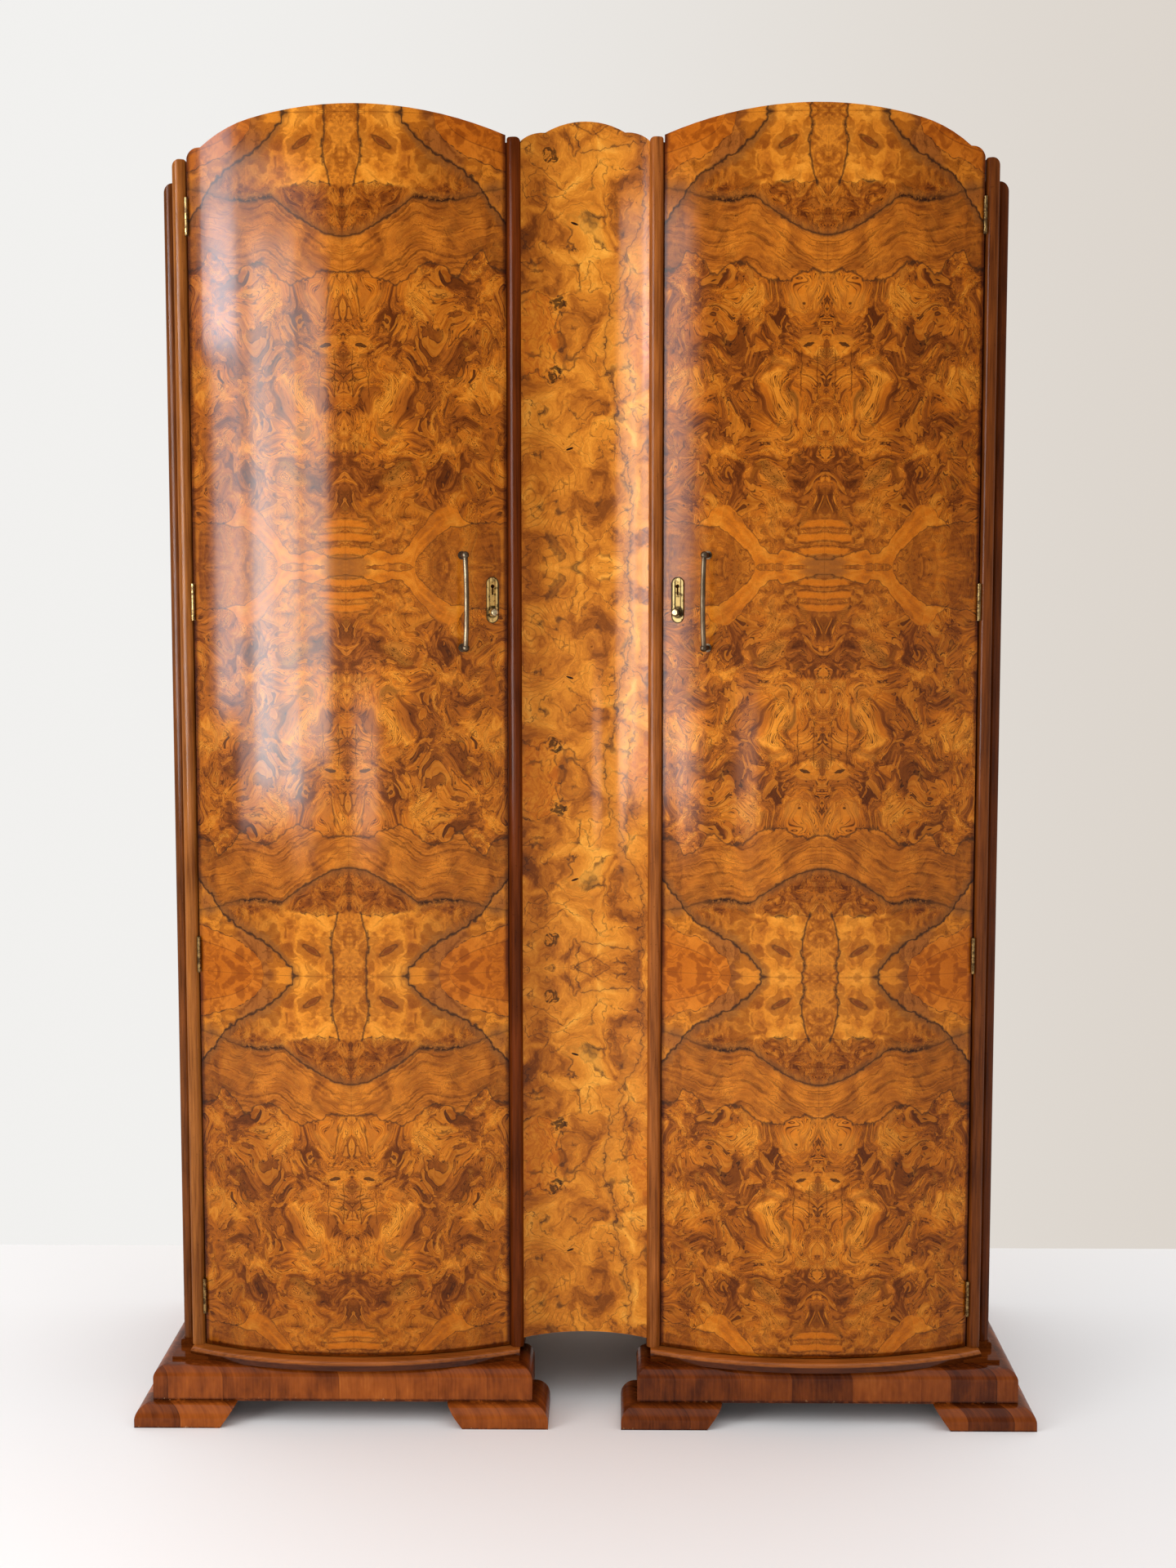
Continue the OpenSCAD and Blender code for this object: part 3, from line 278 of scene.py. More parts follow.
def swirls(f, u, v, seed, lift=0.0):
    """The wandering ground of the burr; lift makes it paler or darker in places."""
    here = f.point(u, v, seed)
    slow_u, slow_v = f.shifts(here, 70, 26)
    quick_u, quick_v = f.shifts(f.point(u + slow_u, v + slow_v, seed), 22, 9, 2)
    where = f.point(u + slow_u + quick_u, v + slow_v + quick_v, seed)
    broad = f.noise(where, 34, 2, 0.5, 1.2)
    close = f.noise(where, 9, 2, 0.55, 1.2)
    height = broad * 0.68 + close * 0.32 + lift
    colour = f.ramp(height, (0.37, (0.105, 0.022, 0.002)), (0.43, BROWN), (0.475, TAN),
                    (0.515, (0.52, 0.145, 0.011)), (0.55, ORANGE), (0.59, GOLD), (0.68, PALE))
    calm = f.noise(here, 85)
    colour = f.mix(calm.over(0.50, 0.62) * 0.35, colour, f.mix(close, BROWN, TAN))
    drift = f.noise(f.point(u + slow_u * 0.5 + quick_u, v + slow_v * 0.5 + quick_v, seed + 40), 44, 3, 0.6, 0.5)
    drift_colour = f.ramp(drift + lift * 1.8, (0.37, (0.17, 0.040, 0.004)), (0.45, (0.30, 0.078, 0.007)),
                          (0.505, (0.48, 0.135, 0.011)), (0.545, (0.68, 0.200, 0.012)), (0.63, PALE))
    colour = f.mix(0.30, colour, drift_colour)
    # Curling lines, close together here and far apart there
    strength = f.noise(here, 24, 1).over(0.36, 0.58)
    rings = (height * 135 + close * 12).sin()
    colour = f.mix(rings.over(0.30, 0.95) * (strength * 0.72 + 0.20), colour, (0.085, 0.020, 0.003))
    # Bright islands with a dark rim, and eyes
    islands = f.noise(where, 21, 2, 0.55) + lift * 0.7
    island_colour = f.mix(close.over(0.35, 0.6), (0.56, 0.145, 0.006), GOLD)
    colour = f.mix(islands.over(0.575, 0.595) * 0.5, colour, island_colour)
    colour = f.mix((islands - 0.570).line(0.014) * 0.8, colour, (0.060, 0.016, 0.004))
    eyes = f.cells(f.point(u + quick_u, v + quick_v, seed), 15)
    return f.mix(eyes.over(0.16, 0.08) * calm.over(0.46, 0.54) * 0.8, colour, INK)


class Leaf:
    """A leaf of burr: u is millimetres from the upright joint and v from the level one under it."""

    def __init__(self, f, u, v, seed):
        self.u, self.v, self.seed = u, v, seed
        self.slow_u, self.slow_v = slow_u, slow_v = f.shifts(f.point(u, v, seed + 5), 46, 7)
        self.quick_u, self.quick_v = quick_u, quick_v = f.shifts(f.point(u, v, seed + 6), 11, 2.6, 2)
        self.fine_u, self.fine_v = fine_u, fine_v = u + quick_u, v + quick_v
        self.lobes = f.cells(f.point(u + quick_u * 2, v + quick_v * 2, seed), 13)
        scallop = (self.lobes - 0.35) * 9
        self.fine = f.noise(f.point(fine_u, fine_v, seed + 9), 4.5, 3, 0.6)
        self.cloud = f.noise(f.point(fine_u + slow_u, fine_v + slow_v, seed + 9), 30)
        # Height over each drawn outline, or distance outside it
        self.ragged_v = fine_v + scallop
        self.arrow = (fine_v + scallop * 0.7 - fine_u.curve(ARROW)) * v.over(-1, 8).maths("MAXIMUM", 0.55)
        self.shore = fine_v + scallop * 0.6 - u.curve(SHORE)
        self.tip = v - u.curve(TIP)
        self.chevron = v + quick_v * 0.7 - (fine_u + slow_u * 0.3).curve(CHEVRON)
        self.beard = self.ragged_v - (u + slow_u).curve(BEARD)
        self.column = u - quick_u * 0.8 + scallop * 0.5 - v.curve(COLUMN)
        self.far = LEAF_HEIGHT - fine_v
        self.lens = self.far + 30 + scallop * 0.25 - (u + slow_u * 0.2).curve(LENS)
        self.diamond = self.far + scallop * 0.3 - (u + slow_u * 0.2).curve(DIAMOND)
        self.spindle = self.far - u.curve(SPINDLE)


def streaked_bands(f, leaf, colour):
    """Long streaks between the chevron and the beard."""
    u, cloud = leaf.u, leaf.cloud
    flow = leaf.chevron + leaf.slow_v * 0.5
    streaks = f.noise(f.point(u * 0.10 + leaf.slow_u * 0.3, flow, leaf.seed), 4.2, 2, 0.55)
    streaked = f.ramp(streaks * 0.45 + cloud * 0.55, (0.37, (0.24, 0.062, 0.006)), (0.45, (0.40, 0.112, 0.010)),
                      (0.53, (0.58, 0.172, 0.013)), (0.64, (0.74, 0.235, 0.019)))
    dark_streaks = f.noise(f.point(u * 0.05, flow, leaf.seed + 2), 3.0, 1)
    streaked = f.mix(dark_streaks.over(0.57, 0.66) * 0.65, streaked, DEEP)
    streaked = f.mix(u.over(110, 190) * 0.22, streaked, f.mix(cloud.over(0.4, 0.6), DEEP, BROWN))
    return f.mix(leaf.chevron.over(-1, 2) * leaf.beard.over(3, -3) * 0.68, colour, streaked)


def arrow_and_tips(f, leaf, colour, knotted):
    """All that lies under the chevron: the pale lobes, the arrow, its orange tips and the column."""
    u, v, cloud = leaf.u, leaf.v, leaf.cloud
    colour = f.mix(leaf.chevron.over(1, -1), colour, f.mix(0.25, knotted, BROWN))
    lobe_colour = f.ramp(cloud * 0.7 + leaf.fine * 0.3, (0.36, (0.52, 0.150, 0.012)), (0.47, GOLD), (0.60, PALE))
    colour = f.mix(leaf.ragged_v.over(LOBES_TOP + 3, LOBES_TOP - 1) * u.over(190, 60), colour, lobe_colour)
    colour = f.mix(leaf.arrow.over(1, -1), colour, f.mix(cloud.over(0.35, 0.65), (0.40, 0.125, 0.018), GOLD))
    colour = f.mix(leaf.shore.over(1, -1), colour,
                   f.ramp(cloud, (0.35, (0.58, 0.155, 0.008)), (0.62, (0.74, 0.225, 0.016))))
    colour = f.mix(leaf.tip.over(2, -2) * 0.94, colour,
                   f.ramp(cloud, (0.3, (0.55, 0.140, 0.006)), (0.65, (0.66, 0.178, 0.009))))
    colour = f.mix(leaf.tip.line(1.4) * u.over(132, 142) * 0.7, colour, (0.24, 0.060, 0.006))
    colour = f.mix(leaf.column.over(0.6, -0.6) * v.over(94, 88) * 0.8, colour,
                   f.mix(leaf.fine.over(0.3, 0.7), TAN, GOLD))
    rims = (leaf.lobes - 0.60).line(0.05) * leaf.arrow.over(-3, -7) * leaf.shore.over(1, 4)
    return f.mix(rims * 0.5 * v.over(12, 20), colour, DEEP)


def eyes_and_panes(f, leaf, colour):
    """A pair of eyes beside the upright joint, and two upright lines over them."""
    u, v = leaf.u, leaf.v
    colour = f.mix(patch(u, v, 20, 284, 20, 9).over(0.1, 0.5) * 0.5, colour, GOLD)
    eye = patch(leaf.fine_u, leaf.fine_v - u * 0.2, 24, 284, 9, 3.6)
    colour = f.mix(eye.over(0.2, 0.5) * 0.85, colour, INK)
    panes = (u - 12 + leaf.quick_u * 0.5).line(1.2) + (u - 34 + leaf.quick_u * 0.7).line(1.4)
    return f.mix(panes.clamp() * patch(u, v, 20, 325, 40, 34).over(0, 0.3) * 0.75, colour, DEEP)


def star(f, leaf, colour, knotted):
    """Round the upper joint: smooth bands between two lenses and two burred diamonds."""
    u, far, cloud = leaf.u, leaf.far, leaf.cloud
    lens_grain = f.noise(f.point(u * 0.16, leaf.lens + leaf.quick_v, leaf.seed + 3), 5.5)
    lens_colour = f.ramp(lens_grain * 0.5 + cloud * 0.5, (0.38, (0.15, 0.037, 0.005)), (0.46, BROWN), (0.54, TAN),
                         (0.66, ORANGE))
    lens_colour = f.mix(0.3, lens_colour, knotted)
    colour = f.mix(leaf.lens.over(1, -1) * far.over(84, 74) * 0.55, colour, lens_colour)
    colour = f.mix(far.over(82, 60) * u.over(116, 106) * 0.8, colour, f.mix(0.12, knotted, TAN))
    bars = (far * 0.36 + leaf.quick_v * 0.5 + u * 0.03).sin()
    at_bars = patch(leaf.fine_u, far, 0, 36, 40, 30).over(0.05, 0.25)
    colour = f.mix(bars.over(-0.1, 0.5) * at_bars * 0.7, colour, ORANGE)
    colour = f.mix((bars + 0.5).line(0.35) * at_bars * 0.6, colour, DEEP)
    in_band = leaf.lens.over(-1, 1) * leaf.diamond.over(1, -1) * leaf.spindle.over(-0.5, 0.5)
    band_grain = f.noise(f.point(u * 0.12, leaf.lens * 0.8 + leaf.quick_v * 0.5, leaf.seed + 4), 6.0)
    band_colour = f.ramp(cloud * 0.6 + band_grain * 0.4, (0.38, TAN), (0.47, ORANGE), (0.58, GOLD), (0.68, PALE))
    colour = f.mix(in_band * 0.72, colour, band_colour)
    return f.mix(patch(u, far, 0, 6, 40, 12).over(0.1, 0.6) * 0.6, colour, (0.27, 0.096, 0.018))


def dark_outlines(f, leaf, colour):
    """Shading of the lobes, dark outlines with smoke beside some, and the joints."""
    u, v, far = leaf.u, leaf.v, leaf.far
    shade = f.noise(f.point(leaf.fine_u + leaf.slow_u, leaf.fine_v + leaf.slow_v, leaf.seed + 12), 21, 3, 0.55, 1.0)
    colour = f.tint(colour, (leaf.chevron + 6).over(0, -10) * shade.over(0.56, 0.40) * 0.75, (0.50, 0.40, 0.34))
    colour = f.mix((leaf.arrow - 5).line(11) * 0.68 * u.over(66, 76), colour, SMOKE)
    colour = f.mix((leaf.chevron + 3).line(10) * 0.58, colour, SMOKE)
    broken = leaf.fine.over(0.34, 0.50)
    lines = (leaf.arrow.line(3.2) * u.over(68, 75) * 1.2
             + leaf.shore.line(1.3) * u.over(112, 120) * broken
             + leaf.column.line(2.6) * v.over(94, 90)
             + (leaf.ragged_v - LOBES_TOP).line(1.8) * u.over(78, 66) * u.over(12, 18) * broken
             + leaf.chevron.line(2.6) * (u.over(104, 92) * 0.4 + 0.6)
             + leaf.beard.line(2.6) * 0.9
             + leaf.lens.line(1.5) * u.over(88, 94) * far.over(70, 56) * 0.8
             + leaf.diamond.line(1.5) * leaf.diamond.over(-4, -3) * far.over(78, 70) * (leaf.lens + 2).over(0, 3) * 0.8
             + leaf.spindle.line(0.9) * u.over(20, 30) * u.over(96, 92) * 0.7).clamp()
    colour = f.mix(lines * 0.92, colour, (0.045, 0.018, 0.007))
    burnt = (leaf.chevron + leaf.fine * 8 - 3).line(5.5) * u.over(90, 102) * u.over(170, 150)
    colour = f.mix(burnt * leaf.fine.over(0.40, 0.50), colour, INK)
    return f.mix(v.line(0.9) * 0.45 + u.line(0.7) * 0.35, colour, DEEP)


def slanting_knot(f, leaf, colour):
    """A knot beside the column, which the joints mirror to four."""
    off_u, off_v = leaf.u - 54, leaf.v - 37
    long = off_u * 0.87 + off_v * 0.5
    short = off_v * 0.87 - off_u * 0.5
    knot = long * long / 165 + short * short / 14 + (leaf.fine - 0.5) * 1.6
    colour = f.mix(knot.over(3.2, 1.4) * 0.45, colour, (0.38, 0.100, 0.010))
    colour = f.mix((knot - 1.1).line(0.8) * 0.8, colour, (0.070, 0.018, 0.004))
    return f.mix(knot.over(0.7, 0.3) * 0.8, colour, (0.17, 0.034, 0.005))


def burr_figure(f, u, v, seed):
    """The whole leaf: its colour and its fine grain."""
    leaf = Leaf(f, u, v, seed)
    lift = patches(u, v, BRIGHT_BURR) * 0.060 - patches(u, v, DARK_BURR) * 0.060
    knotted = swirls(f, u * 1.6, v * 1.6, seed + 30)
    colour = streaked_bands(f, leaf, swirls(f, u, v, seed, lift))
    colour = arrow_and_tips(f, leaf, colour, knotted)
    colour = eyes_and_panes(f, leaf, colour)
    colour = star(f, leaf, colour, knotted)
    colour = dark_outlines(f, leaf, colour)
    colour = slanting_knot(f, leaf, colour)
    grain = f.noise(f.point(leaf.fine_u, leaf.fine_v, seed + 20), 1.7, 2, 0.6)
    return f.tint(colour, grain.over(0.56, 0.34) * 0.30, (0.66, 0.56, 0.50)), grain


# Paler burr of the hollow panel

def honey_figure(f, x, v, seed):
    """Its colour and fine grain; x is millimetres from the panel's middle, v from the joint under it."""
    here = f.point(x, v, seed)
    slow_x, slow_v = f.shifts(here, 60, 16)
    quick_x, quick_v = f.shifts(here, 12, 3.6, 3)
    fine_x, fine_v = x + quick_x, v + quick_v
    bent = f.point(x + slow_x + quick_x, v + slow_v + quick_v, seed)
    cloud = f.noise(bent, 46, 2, 0.5, 0.6)
    fine = f.noise(bent, 7, 3, 0.6, 1.0)
    colour = f.ramp(cloud * 0.72 + fine * 0.28, (0.34, (0.22, 0.058, 0.007)), (0.42, (0.43, 0.125, 0.012)),
                    (0.49, (0.63, 0.205, 0.018)), (0.57, (0.78, 0.285, 0.027)), (0.68, (0.95, 0.420, 0.055)))
    # Arcs round a place at the left, curls elsewhere, and orange patches
    ring = distance(x + slow_x * 0.6 + 78, (v + slow_v * 0.6 - 478) * 0.8) + quick_x * 0.15
    arcs = (ring * 1.1 + cloud * 9).sin() * ring.over(96, 60) * cloud.over(0.42, 0.52)
    curls = (cloud * 130 + fine * 6).sin() * fine.over(0.42, 0.58)
    curling = (arcs.over(0.55, 1.0) + curls.over(0.7, 1.0) * 0.7).clamp()
    colour = f.mix(curling * 0.42, colour, (0.20, 0.060, 0.009))
    orange = patches(fine_x, fine_v, ORANGE_PANEL)
    colour = f.mix(orange.over(0.05, 0.35) * 0.75, colour, f.mix(fine.over(0.4, 0.6), (0.60, 0.150, 0.010), GOLD))
    # Ragged veins, one of them drawn, and an ink line beside an orange patch
    veins = f.noise(f.point(x + slow_x + quick_x * 1.5, v + slow_v + quick_v * 1.5, seed + 7), 62, 1, 0.4)
    small = f.noise(f.point(x + slow_x + quick_x * 1.2, v + slow_v + quick_v * 1.2, seed + 9), 30, 1, 0.4)
    breaks = f.noise(here, 26).over(0.44, 0.56)
    drawn = x + quick_x * 1.7 - v.curve(VEIN, LEAF_HEIGHT)
    finger = v + quick_v * 1.3 + x * 0.08 - 34
    kite = abs(x - 10) * 0.55 + v + quick_v * 0.6 - 15
    ink = x + 36 + (v * 0.13 + quick_v * 0.3).sin() * 7 + quick_x * 0.8
    beside_patch = patch(x, v, -36, 270, 200, 62).over(0.02, 0.1)
    brown = (drawn.line(10) * 0.35 + finger.line(8) * x.over(-12, 0) * 0.3).clamp()
    colour = f.mix(brown, colour, (0.30, 0.095, 0.018))
    lines = ((veins - 0.5).line(0.013) * (breaks * 0.6 + 0.3)
             + (veins - 0.58).line(0.010) * (1 - breaks) * 0.8
             + (small - 0.56).line(0.014) * breaks * 0.75
             + drawn.line(1.7) * (fine.over(0.36, 0.5) * 0.6 + 0.35)
             + finger.line(1.5) * x.over(-12, -4) * x.over(80, 70) * 0.9
             + kite.line(1.3) * v.over(16, 13) * 0.8
             + ink.line(2.6) * beside_patch * fine.over(0.40, 0.50)).clamp()
    colour = f.mix(lines * 0.85, colour, (0.062, 0.022, 0.010))
    # Dark marks, the joint and the fine grain
    blots = patches(fine_x, fine_v, PANEL_BLOTS)
    colour = f.mix(blots.over(0.1, 0.4) * fine.over(0.42, 0.52) * 0.85, colour, INK)
    dashes = patch(x, v + x * 0.3, -22, 408, 6, 1.8) + patch(x, v - x * 0.3, -15, 131, 6, 1.8)
    colour = f.mix(dashes.over(0.1, 0.4), colour, INK)
    specks = f.cells(f.point(fine_x, v * 0.7, seed), 19)
    colour = f.mix(specks.over(0.075, 0.04) * 0.7, colour, DEEP)
    colour = f.mix(v.line(0.8) * 0.4, colour, BROWN)
    grain = f.noise(bent, 1.9, 2, 0.6)
    return f.tint(colour, grain.over(0.56, 0.34) * 0.25, (0.70, 0.60, 0.52)), grain


# Veneered boards

def height_on_leaf(z):
    """Height over the nearest level joint, or down from it, because the leaves are mirrored there."""
    stretched = z - (z - SEAM_Z - LEAF_HEIGHT).maths("MAXIMUM", 0.0) * TOP_STRETCH
    return (stretched - SEAM_Z).maths("PINGPONG", LEAF_HEIGHT)


def round_the_curve(x, radius):
    return (x / radius).maths("ARCSINE") * radius


def slow_tone(f, x, z, seed):
    """Slow changes that the joints don't mirror."""
    return f.noise(f.point(x, z, seed), 260)


def face_the_board(f, place, show_face, colour, grain):
    """The figure on the show face, and plain wood on the back and the edges."""
    x, y, z = place
    back_grain = f.noise(f.point(x, z * 0.05, y), 3.2, 3, 0.6)
    back = f.ramp(back_grain, (0.3, (0.13, 0.035, 0.008)), (0.7, (0.25, 0.08, 0.02)))
    f.feed(base_color=f.mix(show_face, back, colour))
    f.bump(f.noise(f.point(x, z, y), 120, 1) * 2.0 + grain * 0.02, 0.0006)
    return f


def door_veneer(name, side, seed):
    f = polished(name, 0.45, 0.28, 0.14)
    x, y, z = place = f.place()
    from_middle = x - side * DOOR_MIDDLE
    across = abs(round_the_curve(from_middle, BOW_RADIUS))
    colour, grain = burr_figure(f, across, height_on_leaf(z), seed)
    tone = slow_tone(f, x, z, 11.0 + side)
    colour = f.tint(colour, tone.over(0.35, 0.65) * 0.45, (0.70, 0.62, 0.52))
    # Painted shade: darker towards the wardrobe's outer edges and towards its top; darker in patches along the rim
    colour = f.tint(colour, x.over(260, 480) * 0.8, (0.84, 0.80, 0.74))
    colour = f.tint(colour, x.over(-390, -520) * 0.8, (0.78, 0.76, 0.75))
    colour = f.tint(colour, z.over(900, 1500), (0.92, 0.88, 0.84))
    rim = (across.over(DOOR_EDGE - 7, DOOR_EDGE - 1) + z.over(DOOR_FOOT + 7, DOOR_FOOT + 3)).clamp()
    colour = f.tint(colour, rim * tone.over(0.3, 0.5), (0.30, 0.22, 0.18))
    show_face = distance(from_middle, y - BOW_CENTRE_Y).over(*[BOW_RADIUS - depth for depth in SHOW_FACE])
    return face_the_board(f, place, show_face, colour, grain)


def hollow_veneer(name):
    f = polished(name, 0.45, 0.28, 0.14)
    x, y, z = place = f.place()
    colour, grain = honey_figure(f, round_the_curve(x, HOLLOW_RADIUS), height_on_leaf(z), 60.0)
    colour = f.tint(colour, slow_tone(f, x, z, 11.0).over(0.35, 0.65) * 0.2, (0.70, 0.62, 0.52))
    # Painted shade: the hollow panel's left flank is darker
    colour = f.tint(colour, x.over(-38, -66), (0.76, 0.71, 0.65))
    show_face = distance(x, y - HOLLOW_CENTRE_Y).over(*[HOLLOW_RADIUS + depth for depth in SHOW_FACE])
    return face_the_board(f, place, show_face, colour, grain)


# Plain woods

def long_grain(name, along, dark, light, polish=0.25, gloss=0.10, shade_below=0):
    """Polished straight-grained wood, with the grain along axis 0, 1 or 2."""
    f = polished(name, 0.36, polish, gloss)
    where = f.place()
    height = where[2]
    grain = f.noise(f.drawn_out(where, along, 0.04), 3.0, 4, 0.6)
    cloud = f.noise(f.drawn_out(where, along, 0.35), 42)
    nicks = f.noise(f.point(*where), 4.5, 3, 0.7)
    colour = f.ramp(grain * 0.6 + cloud * 0.4, (0.32, dark), (0.68, light))
    colour = f.tint(colour, nicks.over(0.62, 0.72) * 0.5, (0.4, 0.35, 0.3))
    if shade_below:
        # Painted shade: the wood is darker below shade_below, under the moulding's round
        colour = f.tint(colour, height.over(shade_below, shade_below - 3), (0.22, 0.16, 0.12))
        chips = nicks.over(0.60, 0.66) * height.over(shade_below + 4, shade_below + 6)
        colour = f.mix(chips * 0.7, colour, (0.50, 0.28, 0.13))
    f.feed(base_color=colour)
    f.bump(grain * 0.25 + cloud, 0.0004)
    return f


def crossbanded(name):
    """Short pieces of veneer laid side by side with the grain upright."""
    f = polished(name, 0.40, 0.35, 0.12)
    x, y, z = f.place()
    run = x + y * 0.93
    banding = {"W": run / BAND_PIECE, "Scale": 1.0}
    piece_colour = f.node("ShaderNodeTexVoronoi", {"voronoi_dimensions": "1D"}, banding, "Color")
    piece = f.split(piece_colour)[0]
    to_edge = f.node("ShaderNodeTexVoronoi", {"voronoi_dimensions": "1D", "feature": "DISTANCE_TO_EDGE"}, banding)
    grain = f.noise(f.point(run, z * 0.07, piece * 30), 4.0, 4, 0.6)
    cloud = f.noise(f.point(run, z * 0.5, piece * 50), 26, 3, 0.6)
    colour = f.ramp(grain * 0.28 + cloud * 0.46 + piece * 0.26, (0.33, (0.10, 0.020, 0.003)),
                    (0.48, (0.23, 0.050, 0.006)), (0.62, (0.35, 0.083, 0.010)), (0.76, (0.50, 0.140, 0.018)))
    colour = f.tint(colour, to_edge.over(0.012, 0.0) * 0.5, (0.3, 0.25, 0.2))
    # Painted shade in the creases under the step, over the feet and along the floor, broken in patches, and pale chips
    # along the lower edges
    nicks = f.noise(f.point(x, y, z), 7, 3, 0.7)
    darkening = (z - FEET_TOP - 1.5).line(3.5) + (z - RAILS_TOP - 1.5).line(3.0) + z.over(3, 0)
    colour = f.tint(colour, darkening.clamp() * nicks.over(0.30, 0.50), (0.16, 0.11, 0.09))
    chips = nicks.over(0.64, 0.70) * ((z - FEET_TOP - 3).line(3.0) + (z - 1.5).line(2.5)).clamp()
    colour = f.mix(chips * 0.8, colour, (0.52, 0.27, 0.12))
    # Painted shade: the right plinth is darker than the left, and the rails' rounded tops are darker under the step
    colour = f.tint(colour, x.over(-150, 250) * 0.55, (0.45, 0.38, 0.35))
    colour = f.tint(colour, z.over(RAILS_TOP - 15, RAILS_TOP - 1) * 0.6, (0.62, 0.52, 0.46))
    f.feed(base_color=colour)
    f.bump(grain * 0.3 + cloud, 0.0004)
    return f


def bare_wood(name, along):
    f = Finish(name, roughness=0.6)
    where = f.place()
    grain = f.noise(f.drawn_out(where, along, 0.03), 4.5, 4, 0.6)
    knots = f.noise(f.drawn_out(where, along, 0.3), 70)
    f.feed(base_color=f.ramp(grain * 0.7 + knots * 0.3, (0.3, (0.30, 0.16, 0.07)), (0.7, (0.52, 0.33, 0.17))))
    f.bump(grain, 0.0003)
    return f


# Metals

def metal(name, bright, tarnished, rough, worn=0.5, tarnish_size=9.0):
    f = Finish(name, metallic=1.0)
    where = f.point(*f.place())
    cloud = f.noise(where, tarnish_size, 4, 0.65)
    fine = f.noise(where, 0.9, 2, 0.6)
    tarnish = (cloud * 0.8 + fine * 0.2).over(worn + 0.10, worn - 0.10)
    f.feed(base_color=f.mix(tarnish, bright, tarnished), roughness=(tarnish * 0.25 + rough).clamp())
    f.bump(fine, 0.00006)
    return f


def plate_finish():
    """Worn brass with dirt in the hollow between the ribs, and darker round the knob and along the outline."""
    f = Finish("plate_brass", metallic=1.0)
    x, y, z = f.place()
    where = f.point(x, y, z)
    cloud = f.noise(where, 6, 3, 0.6)
    fine = f.noise(where, 0.9, 2, 0.6)
    across = abs((abs(x) - KEY_PLATE_X) * KEY_PLATE_SLANT)
    high = z - KEY_PLATE_Z
    hollow = across.over(4.4, 3.8) * high.over(-12, -9) * high.over(27, 25)
    colour = f.mix(cloud.over(0.40, 0.62) * 0.6, (0.95, 0.60, 0.20), (0.58, 0.35, 0.12))
    colour = f.mix(hollow * 0.75, colour, f.mix(fine, (0.52, 0.28, 0.07), (0.80, 0.46, 0.13)))
    # Painted shade: the right plate is darker than the left one
    colour = f.tint(colour, x.over(-10, 10), (0.17, 0.18, 0.21))
    beside_ribs = (across - 4.1).line(1.4) * high.over(-13, -10)
    round_knob = (distance(across, z - KNOB_Z) - KNOB_RING).line(2.8)
    outline = distance(across, (abs(high) - KEY_PLATE_STRAIGHT).maths("MAXIMUM", 0.0)).over(7.2, 8.4)
    darkening = (beside_ribs * 0.9 + round_knob + outline + cloud.over(0.54, 0.62) * 0.6).clamp()
    f.feed(base_color=f.mix(darkening * 0.95, colour, (0.022, 0.012, 0.006)), roughness=darkening * 0.25 + 0.34)
    f.bump(fine, 0.00006)
    return f


def handle_finish():
    """Brown brass, darker towards the ends of the bar."""
    f = Finish("dark_brass", metallic=1.0)
    x, y, z = f.place()
    cloud = f.noise(f.point(x, y, z * 0.35), 14, 3, 0.6)
    fine = f.noise(f.point(x, y, z), 1.1, 2, 0.6)
    colour = f.mix((cloud * 0.8 + fine * 0.2).over(0.42, 0.60), (0.19, 0.135, 0.083), (0.10, 0.067, 0.040))
    colour = f.mix(abs(z - HANDLE_Z).over(50, 62) * 0.7, colour, (0.060, 0.040, 0.026))
    f.feed(base_color=colour, roughness=cloud * 0.2 + 0.33)
    f.bump(fine, 0.00006)
    return f


# What each piece wears

def both(*pieces):
    """The left and the right one of each piece."""
    return [f"{side}_{piece}" for piece in pieces for side in ("left", "right")]


door_veneer("burr_left", -1, 8.0).wear("left_door")
door_veneer("burr_right", 1, 3.0).wear("right_door")
hollow_veneer("burr_centre").wear("centre_panel")

# Painted light and shade: lit copies of the walnut on the left post, the left side and the right bead; shaded copies
# on the right post, the right side and the left bead, which the stiles share
for name, polish, dark, light, pieces in (
        ("walnut_left_post_painted_lit", 0.22, (0.130, 0.034, 0.005), (0.420, 0.140, 0.026), ["left_post"]),
        ("walnut_right_post_painted_shade", 0.22, (0.052, 0.011, 0.002), (0.205, 0.052, 0.008), ["right_post"]),
        ("walnut_left_side_painted_lit", 0.22, (0.060, 0.015, 0.002), (0.240, 0.068, 0.012), ["left_side_panel"]),
        ("walnut_right_side_painted_shade", 0.22, (0.034, 0.007, 0.001), (0.130, 0.028, 0.004), ["right_side_panel"]),
        ("walnut_left_bead_painted_shade", 0.12, (0.044, 0.008, 0.001), (0.155, 0.030, 0.004), ["left_bead", *both("stile")]),
        ("walnut_right_bead_painted_lit", 0.22, (0.120, 0.028, 0.004), (0.460, 0.140, 0.026), ["right_bead"])):
    long_grain(name, 2, dark, light, polish, gloss=0.16).wear(*pieces)
long_grain("dark_walnut_across", 0, (0.050, 0.009, 0.001), (0.170, 0.037, 0.005)).wear(
    *both("base_board", "step_board"), "top_board")
long_grain("red_walnut_across", 0, (0.140, 0.034, 0.005), (0.440, 0.125, 0.020), polish=0.5,
           shade_below=MOULDING_PAINTED_SHADE).wear(*both("bow_moulding"))
long_grain("dark_walnut_deep", 1, (0.050, 0.009, 0.001), (0.165, 0.038, 0.006)).wear(*both("side_moulding"))
crossbanded("crossbanded_walnut").wear(*both("plinth_rails", "feet"))
bare_wood("softwood_across", 0).wear(*both("head_rail"), "centre_rails", "bottom_board", "hat_shelf",
                                     "shelf_bearers", "plinth_blocks")
bare_wood("softwood_upright", 2).wear("back_panel")

